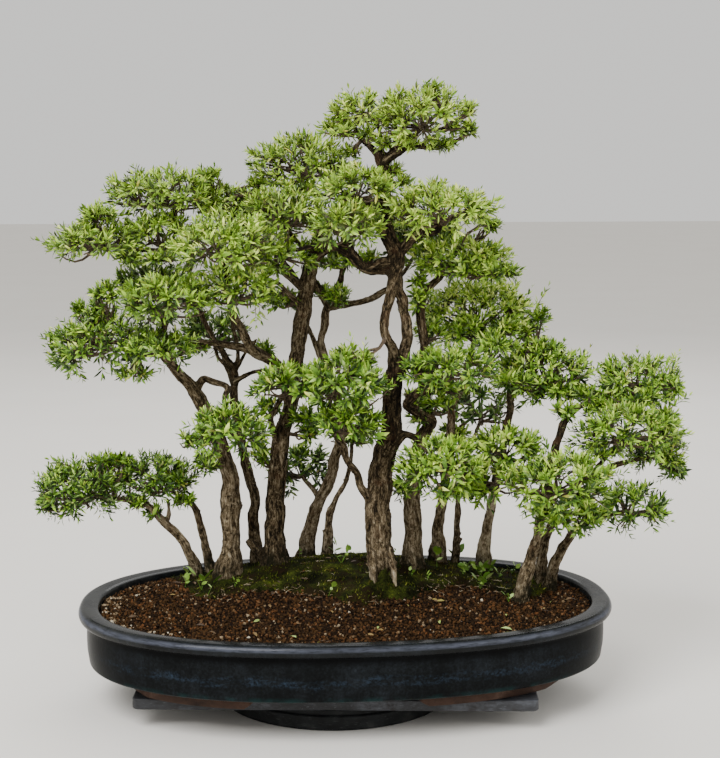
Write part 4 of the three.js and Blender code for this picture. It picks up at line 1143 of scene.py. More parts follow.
def makeTree(name, finish):
    # one body of wood: its tubes melted together, then ridged and cracked along the grain
    routes = trees[name]
    seed = bark["seed"] + list(trees).index(name) * 7
    foot = routes[0][0]
    below = [foot[0], foot[1], foot[2] - bark["rootDepth"] / mm, foot[3] * 0.9]
    lines = [smoothRoute([below] + routes[0], bark["step"], bark["trunkSway"], seed)]
    lines += [smoothRoute(route, bark["step"], bark["limbSway"], seed + i)
              for i, route in enumerate(routes[1:], 1)]
    limbs = [line for line in lines if line[:, 3].max() > bark["stout"]]
    lines += [stub(limb, seed + i) for i, limb in enumerate(limbs * bark["stubs"])]
    roots = rootRoutes(foot, surfaceRoots.get(name, 0))
    lines += [smoothRoute(route, bark["step"], bark["rootSway"], seed + 40 + i)
              for i, route in enumerate(roots)]
    trunk = lines[0]
    height = trunk[:, 2] - soilHeight(trunk[:, 0], trunk[:, 1])
    flare = bark["mainFlare"] if name == "tree_main" else bark["flare"]
    trunk[:, 3] *= 1 + flare * np.exp(-np.maximum(height, 0) / bark["flareHigh"])
    obj = tubesOf(name + "_wood", lines)
    shape = asMesh(obj)
    melt = shape.modifiers.new("melt", "REMESH")
    melt.mode = "VOXEL"
    thickest = max(point[3] for point in routes[0])
    melt.voxel_size = float(np.interp(thickest, (8, 20), (bark["finest"], bark["coarsest"])))
    finished(shape)
    spots = np.vstack(lines)
    frames = [turningFrame(line) for line in lines]
    ways = [np.vstack([frame[i] for frame in frames]) for i in range(3)]
    arcs = np.concatenate([arcOf(line) + i * 0.7 for i, line in enumerate(lines)])
    mesh = shape.data
    points, normals = pointsOf(mesh)
    u, v, s, radius = onLimb(points, spots, ways, arcs)
    angle = np.arctan2(v, u)
    thick = np.clip((radius - 4 * mm) / (10 * mm), 0, 1)
    flutes = np.sin(3 * angle + s / (120 * mm) + seed) + 0.6 * np.sin(5 * angle - s / (80 * mm))
    push = thick * radius * 0.045 * flutes
    for wide, long, deep in bark["ridges"]:
        rough = np.array([noise.noise((a / (wide * mm), b / (wide * mm), c / (long * mm)))
                          for a, b, c in zip(u, v, s)])
        push += (0.5 - np.abs(rough) * 2.2) * (radius * deep + 0.3 * mm)
    points += normals * np.clip(push, -bark["deepest"], bark["deepest"])[:, None]
    mesh.vertices.foreach_set("co", points.ravel())
    thin = shape.modifiers.new("thin", "DECIMATE")
    thin.ratio = bark["keep"]
    finished(shape)
    mesh = shape.data
    points, _ = pointsOf(mesh)
    u, v, s, radius = onLimb(points, spots, ways, arcs)
    grain = mesh.attributes.new("grain", "FLOAT_VECTOR", "POINT")
    grain.data.foreach_set("vector", np.column_stack([u, v, s]).astype(np.float32).ravel())
    height = points[:, 2] - soilHeight(points[:, 0], points[:, 1])
    # the bark's own paleness, darkened higher up by painted shade under the foliage
    heights, shades = zip(*barkPaleAndShade[name])
    pale = np.interp(height / mm, heights, shades)
    if name == "tree_main":
        # bare wood shows on the two sides of its foot, and moss grows up between them
        bare = np.clip((np.abs(points[:, 0] - 51 * mm) - 9 * mm) / (4 * mm), 0, 1)
        low = np.clip(1.3 - height / (36 * mm), 0, 1)
        pale += low * (bare * 0.85 - 0.25)
    damp = np.clip(1.4 - height / (26 * mm), 0, 1)
    if name == "tree_main":
        damp = np.clip(1.5 - height / (30 * mm), 0, 1) * (1 - bare * 0.9)
    tone = mesh.attributes.new("tone", "FLOAT_VECTOR", "POINT")
    tone.data.foreach_set("vector", np.column_stack([pale, damp, damp * 0]).astype(np.float32).ravel())
    for face in mesh.polygons:
        face.use_smooth = True
    keep(shape, "dark_bark" if name in darkTrees else "bark", [name], [finish])
    return lines, sum(len(face.vertices) - 2 for face in mesh.polygons)


def makeTrees():
    shades = [(0.38, 16, 12, 7), (0.45, 50, 41, 27), (0.5, 82, 69, 49),
              (0.56, 118, 103, 80), (0.63, 156, 142, 116), (0.74, 196, 182, 156)]
    light = barkFinish("greyBark", *shades)
    dark = barkFinish("darkBark", *[(place + bark["darker"], *shade) for place, *shade in shades])
    samples = []
    total = 0
    for name, routes in trees.items():
        lines, triangles = makeTree(name, dark if name in darkTrees else light)
        samples += lines[:len(routes)]
        total += triangles
    print("trees made, triangles", total)
    return np.vstack(samples)


wood = makeTrees()


# foliage: clouds of sprigs; each lobe is [x, y, z, half width, half depth, half height] in mm
clouds = {
    "apex_leaves": [[32, 28, 822, 58, 48, 34], [108, 0, 816, 74, 58, 47], [-6, 26, 797, 34, 30, 20]],
    "upper_right_leaves": [[130, 0, 699, 80, 66, 44]],
    "upper_left_leaves": [[-5, -42, 679, 54, 48, 38], [12, -12, 725, 56, 46, 38]],
    "upper_back_leaves": [[22, 106, 681, 50, 42, 32]],
    "crown_left_top_leaves": [[-54, 110, 757, 82, 62, 48]],
    "crown_left_leaves": [[-84, 52, 687, 70, 48, 42], [-90, 58, 628, 50, 42, 36]],
    "crown_left_back_leaves": [[-108, 192, 673, 74, 52, 40]],
    "crown_right_back_leaves": [[128, 158, 647, 72, 55, 38]],
    "left_top_leaves": [
        [-256, 112, 719, 86, 62, 42], [-168, 134, 705, 50, 44, 32], [-262, 108, 664, 64, 50, 34],
    ],
    "left_wing_leaves": [[-352, 80, 652, 76, 56, 34]],
    "left_front_leaves": [[-170, -22, 649, 78, 60, 50], [-150, -2, 586, 62, 48, 44]],
    "left_middle_leaves": [[-252, -2, 573, 72, 54, 40]],
    "left_low_leaves": [[-344, 54, 511, 82, 60, 50], [-262, 18, 509, 56, 48, 32]],
    "left_back_leaves": [[-184, 192, 503, 56, 46, 36]],
    "left_behind_leaves": [[-274, 156, 581, 64, 46, 32]],
    "right_upper_leaves": [[166, 70, 627, 82, 58, 36]],
    "right_back_leaves": [[210, 152, 527, 92, 62, 60]],
    "right_middle_leaves": [[142, -38, 477, 72, 50, 36]],
    "right_shoulder_leaves": [[304, 112, 453, 80, 60, 50]],
    "far_right_top_leaves": [[448, 94, 439, 76, 58, 44]],
    "far_right_leaves": [[409, 14, 375, 86, 48, 46]],
    "far_right_tip_leaves": [[480, 76, 331, 50, 50, 42]],
    "right_front_leaves": [[295, -74, 315, 80, 60, 52], [312, -50, 262, 56, 44, 34]],
    "far_right_low_leaves": [[415, -10, 269, 53, 50, 44]],
    "centre_left_leaves": [[-76, 0, 451, 60, 44, 32]],
    "centre_leaves": [[-6, -62, 457, 58, 46, 48], [0, -56, 402, 50, 38, 34]],
    "left_inner_leaves": [[-163, -8, 387, 58, 54, 46]],
    "low_back_leaves": [[-55, 208, 287, 58, 40, 42], [24, 200, 341, 46, 36, 24]],
    "low_left_leaves": [[-274, 136, 289, 66, 54, 40]],
    "low_far_left_leaves": [[-388, 120, 281, 74, 58, 49]],
    "right_inner_leaves": [[128, -62, 343, 62, 50, 52]],
    "right_low_leaves": [[232, 8, 351, 56, 48, 38], [212, -18, 306, 48, 40, 36]],
    "right_inner_back_leaves": [[222, 182, 385, 60, 46, 38]],
}
# clouds that stand behind the others
shadedClouds = {
    "upper_back_leaves", "crown_left_back_leaves", "crown_right_back_leaves", "left_back_leaves",
    "left_behind_leaves", "low_back_leaves", "right_inner_back_leaves",
}

# small tufts on the inner branches, between the clouds
innerShoots = [
    [-84, 100, 558, 27, 24, 20], [-5, 105, 634, 22, 20, 18], [-55, 60, 391, 24, 22, 22],
    [-198, 50, 327, 20, 20, 24], [321, 100, 421, 50, 34, 20], [379, 15, 344, 32, 26, 14],
    [191, 50, 605, 66, 44, 14], [101, 20, 417, 19, 18, 22], [-3, 110, 568, 20, 18, 14],
    [37, 60, 625, 16, 18, 14], [-116, 90, 490, 18, 18, 14], [155, -10, 295, 36, 24, 14],
    [245, 100, 515, 24, 22, 16], [111, 50, 565, 18, 18, 18], [-345, 80, 684, 34, 28, 18],
    [-360, 54, 550, 28, 26, 18], [3, -36, 490, 36, 28, 20], [-46, 90, 366, 20, 18, 18],
    [-120, 100, 328, 18, 16, 22], [-106, 60, 413, 18, 16, 18], [82, 44, 290, 14, 14, 22],
    [147, 60, 435, 26, 22, 20], [178, 140, 350, 26, 22, 20], [76, 10, 790, 34, 30, 12],
    [132, 60, 316, 20, 18, 18], [388, 90, 401, 30, 24, 14], [250, 60, 440, 30, 26, 20],
    [60, 60, 690, 34, 30, 22], [226, 60, 496, 34, 26, 22], [305, 100, 481, 28, 24, 22],
    [192, 100, 512, 30, 26, 20], [273, 130, 508, 28, 24, 20], [140, 40, 413, 18, 18, 18],
    [106, 30, 393, 14, 14, 14], [322, 30, 402, 20, 18, 14], [396, 60, 406, 40, 26, 16],
    [438, 50, 415, 34, 26, 14], [362, 60, 420, 24, 22, 14], [479, 60, 382, 26, 24, 20],
    [-304, 70, 624, 24, 20, 12], [-261, 60, 627, 26, 22, 12], [-335, 40, 577, 22, 20, 20],
    [-257, 30, 545, 24, 22, 16], [-298, 40, 464, 26, 20, 10], [-330, 125, 318, 26, 22, 14],
    [-236, 120, 262, 20, 18, 12], [-191, 120, 742, 22, 20, 12], [-119, 110, 730, 18, 18, 14],
    [-15, 110, 616, 24, 22, 18], [-33, 100, 638, 20, 20, 14], [19, 80, 618, 20, 20, 16],
    [68, 16, 752, 12, 12, 12], [-101, 70, 566, 18, 18, 14], [133, 80, 511, 24, 22, 20],
    [-60, 80, 722, 30, 24, 14], [82, 16, 735, 14, 14, 10], [33, 20, 798, 14, 14, 12],
    [12, 40, 775, 16, 16, 12], [170, 0, 806, 14, 16, 14], [131, 0, 787, 24, 20, 9],
    [109, 60, 593, 14, 14, 12], [302, 130, 529, 16, 18, 18], [214, 60, 671, 18, 20, 14],
    [496, 70, 430, 16, 20, 16], [-7, 108, 562, 16, 14, 10], [113, 60, 469, 16, 16, 16],
    [-277, 125, 242, 14, 14, 14], [-301, 125, 258, 18, 18, 10], [-348, 125, 322, 24, 22, 12],
    [-414, 118, 304, 20, 20, 14], [-250, 130, 292, 20, 18, 16], [120, 0, 864, 14, 14, 8],
    [172, 0, 836, 12, 16, 12], [-212, 60, 498, 22, 20, 14], [-438, 118, 260, 14, 18, 16],
    [-26, 115, 572, 18, 16, 12], [-222, 30, 366, 18, 18, 16], [498, 70, 304, 20, 22, 18],
]
# single long shoots that stand out of the outline: the tip, and how far its foot lies aside, back and below
longShoots = [
    [319, 150, 575, -22, 0, 40], [306, 140, 560, -14, 6, 42], [293, 148, 572, -20, 0, 40],
    [302, 120, 500, -34, 0, 24], [127, 0, 876, -8, 4, 38], [100, 12, 872, -3, 6, 34],
    [6, 26, 864, 6, 0, 36], [-46, 108, 812, -6, 0, 38], [-60, 120, 806, 4, 6, 34],
    [-181, 112, 754, 8, 0, 34], [-236, 110, 764, -4, 0, 30], [-345, 82, 706, 10, 0, 36],
    [-404, 50, 542, 34, 0, 16], [-372, 56, 566, 16, 0, 28], [22, -60, 520, -6, 0, 36],
    [2, -44, 524, 6, 0, 34], [373, 100, 486, -10, 0, 34], [444, 94, 486, 4, 0, 34],
    [504, 24, 424, -30, 0, 20], [470, -14, 246, -34, 0, -4], [-430, 124, 326, 30, 0, 10],
    [-262, 130, 330, 6, 0, 28], [196, 40, 690, -30, 0, 20], [214, 56, 672, -34, 0, 12],
    [-438, 84, 652, 30, 0, 6], [60, -104, 470, -22, 8, 26], [230, -90, 352, -18, 0, 30],
    [340, -96, 364, -6, 8, 34], [180, 196, 690, -10, -8, 34], [-120, 228, 706, 6, -8, 32],
    [-300, 150, 742, 14, 0, 30], [470, 130, 470, -16, -6, 32],
]
# how much lighter a cloud's leaves are, as painted light and shade on the whole cloud, how much denser,
# how many mm higher than its solid, and their size
moods = {
    "apex_leaves": (0.12, 1.1, 8, 0.92), "upper_right_leaves": (0.19, 1.2, -3, 0.92),
    "upper_left_leaves": (0.07, 1.15, 0, 0.93), "upper_back_leaves": (0, 1, 0, 1),
    "crown_left_top_leaves": (0.07, 1.1, 0, 0.92), "crown_left_leaves": (0.05, 1.15, 0, 0.93),
    "left_top_leaves": (0.05, 1.1, -4, 0.92), "left_wing_leaves": (0.04, 1.15, -6, 0.9),
    "left_front_leaves": (0.09, 1.1, 0, 0.97), "left_middle_leaves": (0, 1.15, -2, 0.94),
    "left_low_leaves": (-0.04, 1.3, -8, 0.92), "right_upper_leaves": (0.15, 1.2, -5, 0.95),
    "right_back_leaves": (0.23, 1.7, 4, 0.9), "right_middle_leaves": (0.02, 1.2, 0, 0.96),
    "right_shoulder_leaves": (0.07, 1.3, -4, 0.92), "far_right_top_leaves": (0.06, 1.3, -5, 0.88),
    "far_right_leaves": (0.05, 1.4, -4, 0.88), "far_right_tip_leaves": (0.03, 1.4, -3, 0.88),
    "far_right_low_leaves": (-0.08, 1.15, -4, 0.92), "right_front_leaves": (0.05, 1.2, 0, 0.97),
    "right_inner_leaves": (0.08, 1.1, -3, 1.03), "right_low_leaves": (0.06, 1, 0, 1),
    "right_inner_back_leaves": (0, 0.55, 0, 1), "centre_left_leaves": (-0.02, 1.05, 0, 1.03),
    "centre_leaves": (-0.01, 1.05, 0, 1.07), "left_inner_leaves": (-0.04, 1.05, 0, 1.02),
    "low_left_leaves": (-0.12, 1.75, 4, 0.84), "low_far_left_leaves": (-0.12, 1.75, -2, 0.84),
}
leaves = {
    "seed": 5, "sprigs": 6200, "pairs": 3, "length": 16.8 * mm, "shoot": (13 * mm, 24 * mm),
    "slim": (0.25, 0.35),
    "above": 0.96, "below": 1.12, "rise": 0.3, "fan": 6, "bunchArea": 3100, "stem": 2 * mm,
    # how long the leaves are from the first pair to the tip, and how many degrees a pair opens by,
    # how many fewer towards the tip, and how many at the tip
    "sizes": (0.98, 1.04, 0.86, 0.56), "open": 58, "narrower": 22, "tipOpen": 22, "yellow": 0.011,
}
goldenAngle = 2.39996


def leafShape(sides, fold, droop, ridge):
    # a closed leaf, one long and one wide, from a flat cone: its rim is the outline and its point
    # the raised middle
    bm = bmesh.new()
    bmesh.ops.create_cone(bm, cap_ends=True, segments=2 * len(sides) + 2, radius1=1, radius2=0, depth=1)
    rim = sorted((v for v in bm.verts if v.co.z < 0), key=lambda v: math.atan2(v.co.y, v.co.x))
    peak = next(v for v in bm.verts if v.co.z > 0)
    outline = [(0, 0, 0)] + [(along, -half, fold) for along, half in sides] + [(1, 0, -droop)]
    outline += [(along, half, fold) for along, half in reversed(sides)]
    for v, place in zip(rim, outline):
        v.co = place
    peak.co = (0.46, 0, ridge)
    bmesh.ops.triangulate(bm, faces=[face for face in bm.faces if peak not in face.verts])
    bmesh.ops.recalc_face_normals(bm, faces=bm.faces)
    return shapeOf(bm)


def stemShape():
    # a thin three-sided spike along X
    bm = bmesh.new()
    bmesh.ops.create_cone(bm, cap_ends=True, segments=3, radius1=0.5, radius2=0, depth=1)
    for v in bm.verts:
        v.co = Vector((v.co.z + 0.5, v.co.x, v.co.y))
    return shapeOf(bm)


narrowLeaves = [
    leafShape([(0.28, 0.4), (0.68, 0.42)], 0.03, 0.02, 0.1),
    leafShape([(0.24, 0.36), (0.6, 0.46)], 0.08, 0.06, 0.1),
    leafShape([(0.34, 0.44), (0.72, 0.34)], 0.02, -0.06, 0.09),
    leafShape([(0.44, 0.47)], 0.05, 0.03, 0.1),
]
stem = stemShape()


def leafFinish(name, *shades):
    leaf = Finish(name, Roughness=0.42, Specular_IOR_Level=0.28)
    mark, chance, yellow = leaf.split(leaf.attribute("tone", "Vector"))
    place = leaf.place()
    patch = leaf.noise(place, 24, 3)
    body = leaf.ramp(mark + (patch - 0.5) * 0.18, *shades)
    fleck = leaf.noise(place, 330, 2)
    body = leaf.mix((fleck - 0.4).kept() * 0.5, body, colour(48, 80, 22))
    body = leaf.mix(yellow, body, colour(192, 186, 84))
    # painted highlight: some leaves are painted a pale grey green, as glints
    body = leaf.mix(chance.step(0.86, 0.98) * 0.5, body, colour(188, 209, 134))
    leaf.set(Base_Color=body, Roughness=0.4 + chance * 0.16)
    return leaf


def addLeaves(draw, heap, at, along, up, length, slim, tones):
    # leaves of mixed shape, each with its own tone
    pick = draw.integers(0, len(narrowLeaves), len(at))
    for number, shape in enumerate(narrowLeaves):
        mine = pick == number
        long = length[mine]
        points = placed(shape, at[mine], along[mine], up[mine], long, long * slim[mine], long)
        # painted shade and light: each leaf's tone runs from darker at its base to lighter at its tip
        heap.add(shape, points, tones[mine], rise=leaves["rise"])


def addSprigs(draw, heap, base, tip, light, reach, bigger):
    # shoots from base to tip, with opposite pairs of leaves near the end and two small ones at the point
    count = len(base)
    axis = unit(tip - base)
    sideways = unit(np.cross(axis, unit(draw.normal(size=(count, 3)))))
    other = np.cross(axis, sideways)
    spin = draw.uniform(0, math.pi, count)
    size = leaves["length"] * bigger * draw.uniform(0.8, 1.14, count)
    light = light + draw.normal(0, 0.08, count)
    upright = np.array([0, 0, 1.0])
    for pair in range(leaves["pairs"] + 1):
        last = pair == leaves["pairs"]
        share = pair / leaves["pairs"]
        at = tip - axis * (reach * (1 - share) * 0.9)[:, None]
        for half in (0, math.pi):
            turn = spin + pair * math.pi / 2 + half + draw.normal(0, 0.2, count)
            radial = sideways * np.cos(turn)[:, None] + other * np.sin(turn)[:, None]
            opened = leaves["tipOpen"] if last else leaves["open"] - leaves["narrower"] * share
            spread = np.radians(opened) + draw.normal(0, 0.16, count)
            along = axis * np.cos(spread)[:, None] + radial * np.sin(spread)[:, None]
            along = unit(along + upright * draw.uniform(0.0, 0.3, count)[:, None])
            length = size * leaves["sizes"][pair] * draw.uniform(0.84, 1.12, count)
            slim = draw.uniform(*leaves["slim"], count) * bigger ** 0.8
            here = draw.random(count) > (0.1 if not last else 0.04)
            mark = light + draw.normal(0, 0.2, count) + 0.06 * share
            yellow = (draw.random(count) < leaves["yellow"]) * draw.uniform(0.3, 0.8, count)
            yellow += np.clip((tip[:, 2] - 480 * mm) / (400 * mm), 0, 1) * draw.uniform(0, 0.22, count)
            tones = np.column_stack([np.clip(mark, 0, 1), draw.random(count), yellow])
            up = axis + upright * 0.45
            addLeaves(draw, heap, at[here], along[here], up[here], length[here], slim[here], tones[here])
    wide = np.full(count, leaves["stem"])
    points = placed(stem, base, axis, sideways, np.linalg.norm(tip - base, axis=1), wide, wide)
    heap.add(stem, points, np.tile([[0.5, 0.5, 0.0]], (count, 1)), 1)


def spreadOver(draw, count, low):
    # directions spaced evenly over a globe, down to a height of low
    turns = np.arange(count) + draw.random()
    z = 1 - (1 - low) * (np.arange(count) + 0.5) / count
    flat = np.sqrt(np.maximum(1 - z ** 2, 0))
    angle = turns * goldenAngle + draw.uniform(0, 6.28)
    spots = np.column_stack([flat * np.cos(angle), flat * np.sin(angle), z])
    return spots + draw.normal(0, 0.12, (count, 3))


def lobeArea(lobe):
    x, y, z, rx, ry, rz = lobe
    power = 1.6075
    return 4 * math.pi * (((rx * ry) ** power + (rx * rz) ** power + (ry * rz) ** power) / 3) ** (1 / power)


def bentLine(draw, start, end, first, last, sag):
    # a twig's line with two kinks, thinning to its end
    count = 6
    t = np.linspace(0, 1, count)[:, None]
    line = start + (end - start) * t
    far = np.linalg.norm(end - start)
    bend = draw.normal(0, 0.09, 3) * far
    line += np.sin(t * math.pi) * bend + np.sin(t * 2 * math.pi) * draw.normal(0, 0.04, 3) * far
    line[:, 2] -= (np.sin(t * math.pi) * sag)[:, 0]
    return np.column_stack([line, first + (last - first) * t[:, 0]])


def makeCloud(draw, name, lobes, share, brighter=0, lift=0, bigger=0.95, extra=()):
    heap = Heap()
    total = 0
    twigs = []
    for lobe in lobes:
        centre = (np.array(lobe[:3]) + (0, 0, lift)) * mm
        radii = np.array(lobe[3:]) * mm
        nearest = wood[np.linalg.norm(wood[:, :3] - (centre - (0, 0, radii[2] * 0.3)), axis=1).argmin()]
        heart = centre * 0.75 + nearest[:3] * 0.25 - (0, 0, radii[2] * 0.25)
        spine = bentLine(draw, nearest[:3], heart, min(nearest[3], 3.4 * mm), 2.1 * mm, 0)
        twigs.append(spine)
        bunches = max(4, round(lobeArea(lobe) / leaves["bunchArea"]))
        away = unit(spreadOver(draw, bunches, -0.5))
        hearts = centre + away * radii * draw.uniform(0.4, 0.64, (bunches, 1))
        for spot in hearts:
            start = spine[draw.integers(2, len(spine)), :3]
            twigs.append(bentLine(draw, start, spot, 2 * mm, 1 * mm, 2 * mm))
        # bare twigs fan out to its underside
        for turn in draw.uniform(0, 2 * math.pi, round(leaves["fan"] * radii[0] / (60 * mm))):
            way = np.array([0.8 * math.cos(turn), 0.8 * math.sin(turn), draw.uniform(-0.45, 0.05)])
            rim = centre + way * radii
            twigs.append(bentLine(draw, spine[draw.integers(1, 4), :3], rim, 2.2 * mm, 1 * mm, 2 * mm))
        # shoots stand close on each bunch, thinly below and between the bunches
        count = round(lobeArea(lobe) * share)
        tries = unit(draw.normal(size=(count * 5, 3)))
        chance = np.clip(0.72 + 0.55 * tries[:, 2], 0.2, 1)
        chance *= np.clip(((tries @ away.T).max(axis=1) - 0.6) / 0.3, 0.14, 1)
        tries = tries[draw.random(len(tries)) < chance][:count]
        number = len(tries)
        grown = np.array([1 + 0.26 * noise.noise(Vector(d) * 2.1 + Vector(centre * 30)) +
                          0.14 * noise.noise(Vector(d) * 5 + Vector(centre * 50)) for d in tries])
        squash = np.where(tries[:, 2:3] < 0, (1, 1, leaves["below"]), (1, 1, leaves["above"]))
        depth = draw.uniform(0.4, 1, (number, 1)) ** 0.4
        long = np.where(draw.random(number) < 0.04, draw.uniform(1.1, 1.25, number), 1)
        tip = centre + tries * radii * squash * depth * (grown * long)[:, None]
        home = np.linalg.norm(tip[:, None] - hearts[None], axis=2).argmin(axis=1)
        reach = draw.uniform(*leaves["shoot"], number)
        axis = unit(unit(tip - hearts[home]) + (tries / radii * radii.min()) * 0.5 + (0, 0, 0.52))
        far = np.maximum(np.linalg.norm(tip - hearts[home], axis=1), reach)
        base = (tip - axis * far[:, None]) * 0.35 + hearts[home] * 0.65
        # painted light and shade: leaves are lighter the further out and the higher they sit on a lobe
        light = 0.26 + brighter + 0.23 * depth[:, 0] ** 3 + 0.11 * np.clip(tries[:, 2], -0.6, 1)
        inside = ((tip > np.array(cadLow) + 9 * mm) & (tip < np.array(cadHigh) - 9 * mm)).all(axis=1)
        addSprigs(draw, heap, base[inside], tip[inside], light[inside], reach[inside], bigger)
        total += int(inside.sum())
    if len(extra):
        shoots = np.array(extra) * mm
        foot = shoots[:, :3] + shoots[:, 3:] * (1, 1, -1)
        reach = np.linalg.norm(shoots[:, 3:], axis=1) * 0.85
        addSprigs(draw, heap, foot, shoots[:, :3], np.full(len(shoots), 0.5), reach, bigger)
        total += len(shoots)
    branches = asMesh(tubesOf(name + "_twigs", twigs, 0))
    heap.addMesh(branches.data, (0.5, 0.5, 0), 1)
    bpy.data.objects.remove(branches)
    heap.trim()
    return heap.piece(name), total


def twigFinish():
    twig = Finish("twigBark", Roughness=0.85)
    grain = twig.noise(twig.place(), 260, 3)
    twig.set(Base_Color=twig.ramp(grain, (0.3, 42, 33, 23), (0.5, 76, 62, 45),
                                  (0.7, 112, 94, 70)))
    return twig


def makeFoliage():
    draw = np.random.default_rng(leaves["seed"])
    bright = leafFinish("leafGreen", (0.0, 20, 38, 8), (0.26, 48, 78, 18), (0.5, 98, 136, 36),
                        (0.72, 146, 184, 54), (0.88, 184, 210, 84), (1.0, 218, 231, 126))
    shade = leafFinish("shadeGreen", (0.0, 16, 32, 8), (0.32, 42, 70, 18), (0.56, 82, 118, 34),
                       (0.8, 128, 162, 56), (1.0, 176, 198, 92))
    twig = twigFinish()
    area = sum(lobeArea(lobe) for lobes in clouds.values() for lobe in lobes)
    share = leaves["sprigs"] / area
    sprigs = 0
    for name, lobes in clouds.items():
        brighter, denser, lift, bigger = moods.get(name, (0, 1, 0, 1))
        piece = name.replace("_leaves", "_cloud")
        obj, count = makeCloud(draw, piece, lobes, share * denser, brighter, lift, bigger)
        slot, finish = ("shade_leaf", shade) if name in shadedClouds else ("leaf", bright)
        keep(obj, slot, [name], [finish, twig])
        sprigs += count
    obj, count = makeCloud(draw, "inner_shoots", innerShoots, share * 1.4, extra=longShoots)
    keep(obj, "leaf", [], [bright, twig])
    print("foliage made, sprigs", sprigs + count)


makeFoliage()


# plants on the ground: three weeds, seedlings, and leaves that have dropped
weeds = {
    "weed_left": {"at": (-208, 36), "stems": 3, "high": 20, "leaf": 17, "broad": 0.55, "seed": 5},
    "weed_middle": {"at": (-2, 66), "stems": 3, "high": 20, "leaf": 13, "broad": 0.5, "seed": 9},
    "weed_right": {"at": (196, 6), "stems": 5, "high": 15, "leaf": 13, "broad": 0.8, "seed": 14},
}
seedlings = [
    (-200, 12, 1, 22, 24, 0.5), (-232, 60, 2, 12, 14, 0.6), (-228, 122, 2, 12, 13, 0.7),
    (-28, -28, 1, 14, 16, 0.5), (0, 190, 2, 26, 20, 0.45), (141, 70, 1, 18, 24, 0.5),
    (183, 160, 2, 18, 18, 0.5), (230, -38, 4, 8, 8, 0.7), (178, 52, 4, 9, 10, 0.9),
    (206, 66, 5, 12, 13, 0.9), (222, 84, 5, 12, 12, 0.9), (204, 24, 3, 10, 12, 0.8),
    (236, 70, 4, 9, 9, 0.9), (190, 84, 4, 10, 9, 0.9), (96, 24, 2, 9, 8, 0.6),
    (262, 110, 3, 10, 9, 0.8), (-160, 30, 2, 8, 8, 0.7), (80, 130, 2, 12, 9, 0.6),
    (120, 20, 2, 8, 8, 0.8), (-60, 150, 2, 12, 9, 0.6),
]
# the largest of the dropped leaves: x, y and length in mm, the two pale ones first
bigDropped = [
    (-90, -169, 17), (212, -164, 16), (-128, -96, 11), (30, -150, 10), (118, -130, 11), (262, -112, 12),
]
broadLeaf = leafShape([(0.1, 0.2), (0.3, 0.45), (0.56, 0.47), (0.8, 0.26)], 0.06, 0.06, 0.1)


def addPlant(draw, heap, x, y, stems, high, leaf, broad):
    # a few bent stems from one spot, each with two broad leaves near its end
    foot = np.array([x * mm, y * mm, float(soilHeight(x * mm, y * mm)) + 1 * mm])
    turns = draw.uniform(0, 6.28) + np.arange(stems) * 2 * math.pi / stems + draw.normal(0, 0.3, stems)
    lean = draw.uniform(0.15, 0.75, stems)
    out = np.column_stack([np.cos(turns), np.sin(turns), np.zeros(stems)])
    tall = high * mm * draw.uniform(0.7, 1.1, stems)
    tip = foot + (out * lean[:, None] + (0, 0, 1)) * tall[:, None]
    base = np.repeat(foot[None], stems, axis=0)
    along = tip - base
    up = np.tile([[0.3, 0.1, 1.0]], (stems, 1)) + out * 0.5
    wide = np.full(stems, 1.3 * mm)
    heap.add(stem, placed(stem, base, along, out, np.linalg.norm(along, axis=1), wide, wide),
             np.tile([[0.35, 0.5, 0.0]], (stems, 1)))
    for share, size, rise in ((1, 1.15, 1.0), (0.62, 0.6, 0.35)):
        turn = turns + (0 if share == 1 else 2.2) + draw.normal(0, 0.3, stems)
        away = np.column_stack([np.cos(turn), np.sin(turn), np.full(stems, rise)])
        length = leaf * mm * size * draw.uniform(0.7, 1.1, stems)
        tones = np.column_stack([draw.uniform(0.3, 0.75, stems), draw.random(stems), np.zeros(stems)])
        points = placed(broadLeaf, base + along * share, away, up, length, length * broad, length)
        heap.add(broadLeaf, points, tones)


def makeWeeds():
    weed = leafFinish("weedGreen", (0.0, 44, 66, 22), (0.4, 88, 124, 42), (0.65, 128, 162, 62),
                      (1.0, 176, 200, 104))
    for name, plan in weeds.items():
        draw = np.random.default_rng(plan["seed"])
        heap = Heap()
        addPlant(draw, heap, *plan["at"], plan["stems"], plan["high"], plan["leaf"], plan["broad"])
        keep(heap.piece(name + "_plant"), "weed", [name], [weed])
    draw = np.random.default_rng(31)
    heap = Heap()
    for plan in seedlings:
        addPlant(draw, heap, *plan)
    keep(heap.piece("seedlings"), "weed", [], [weed])


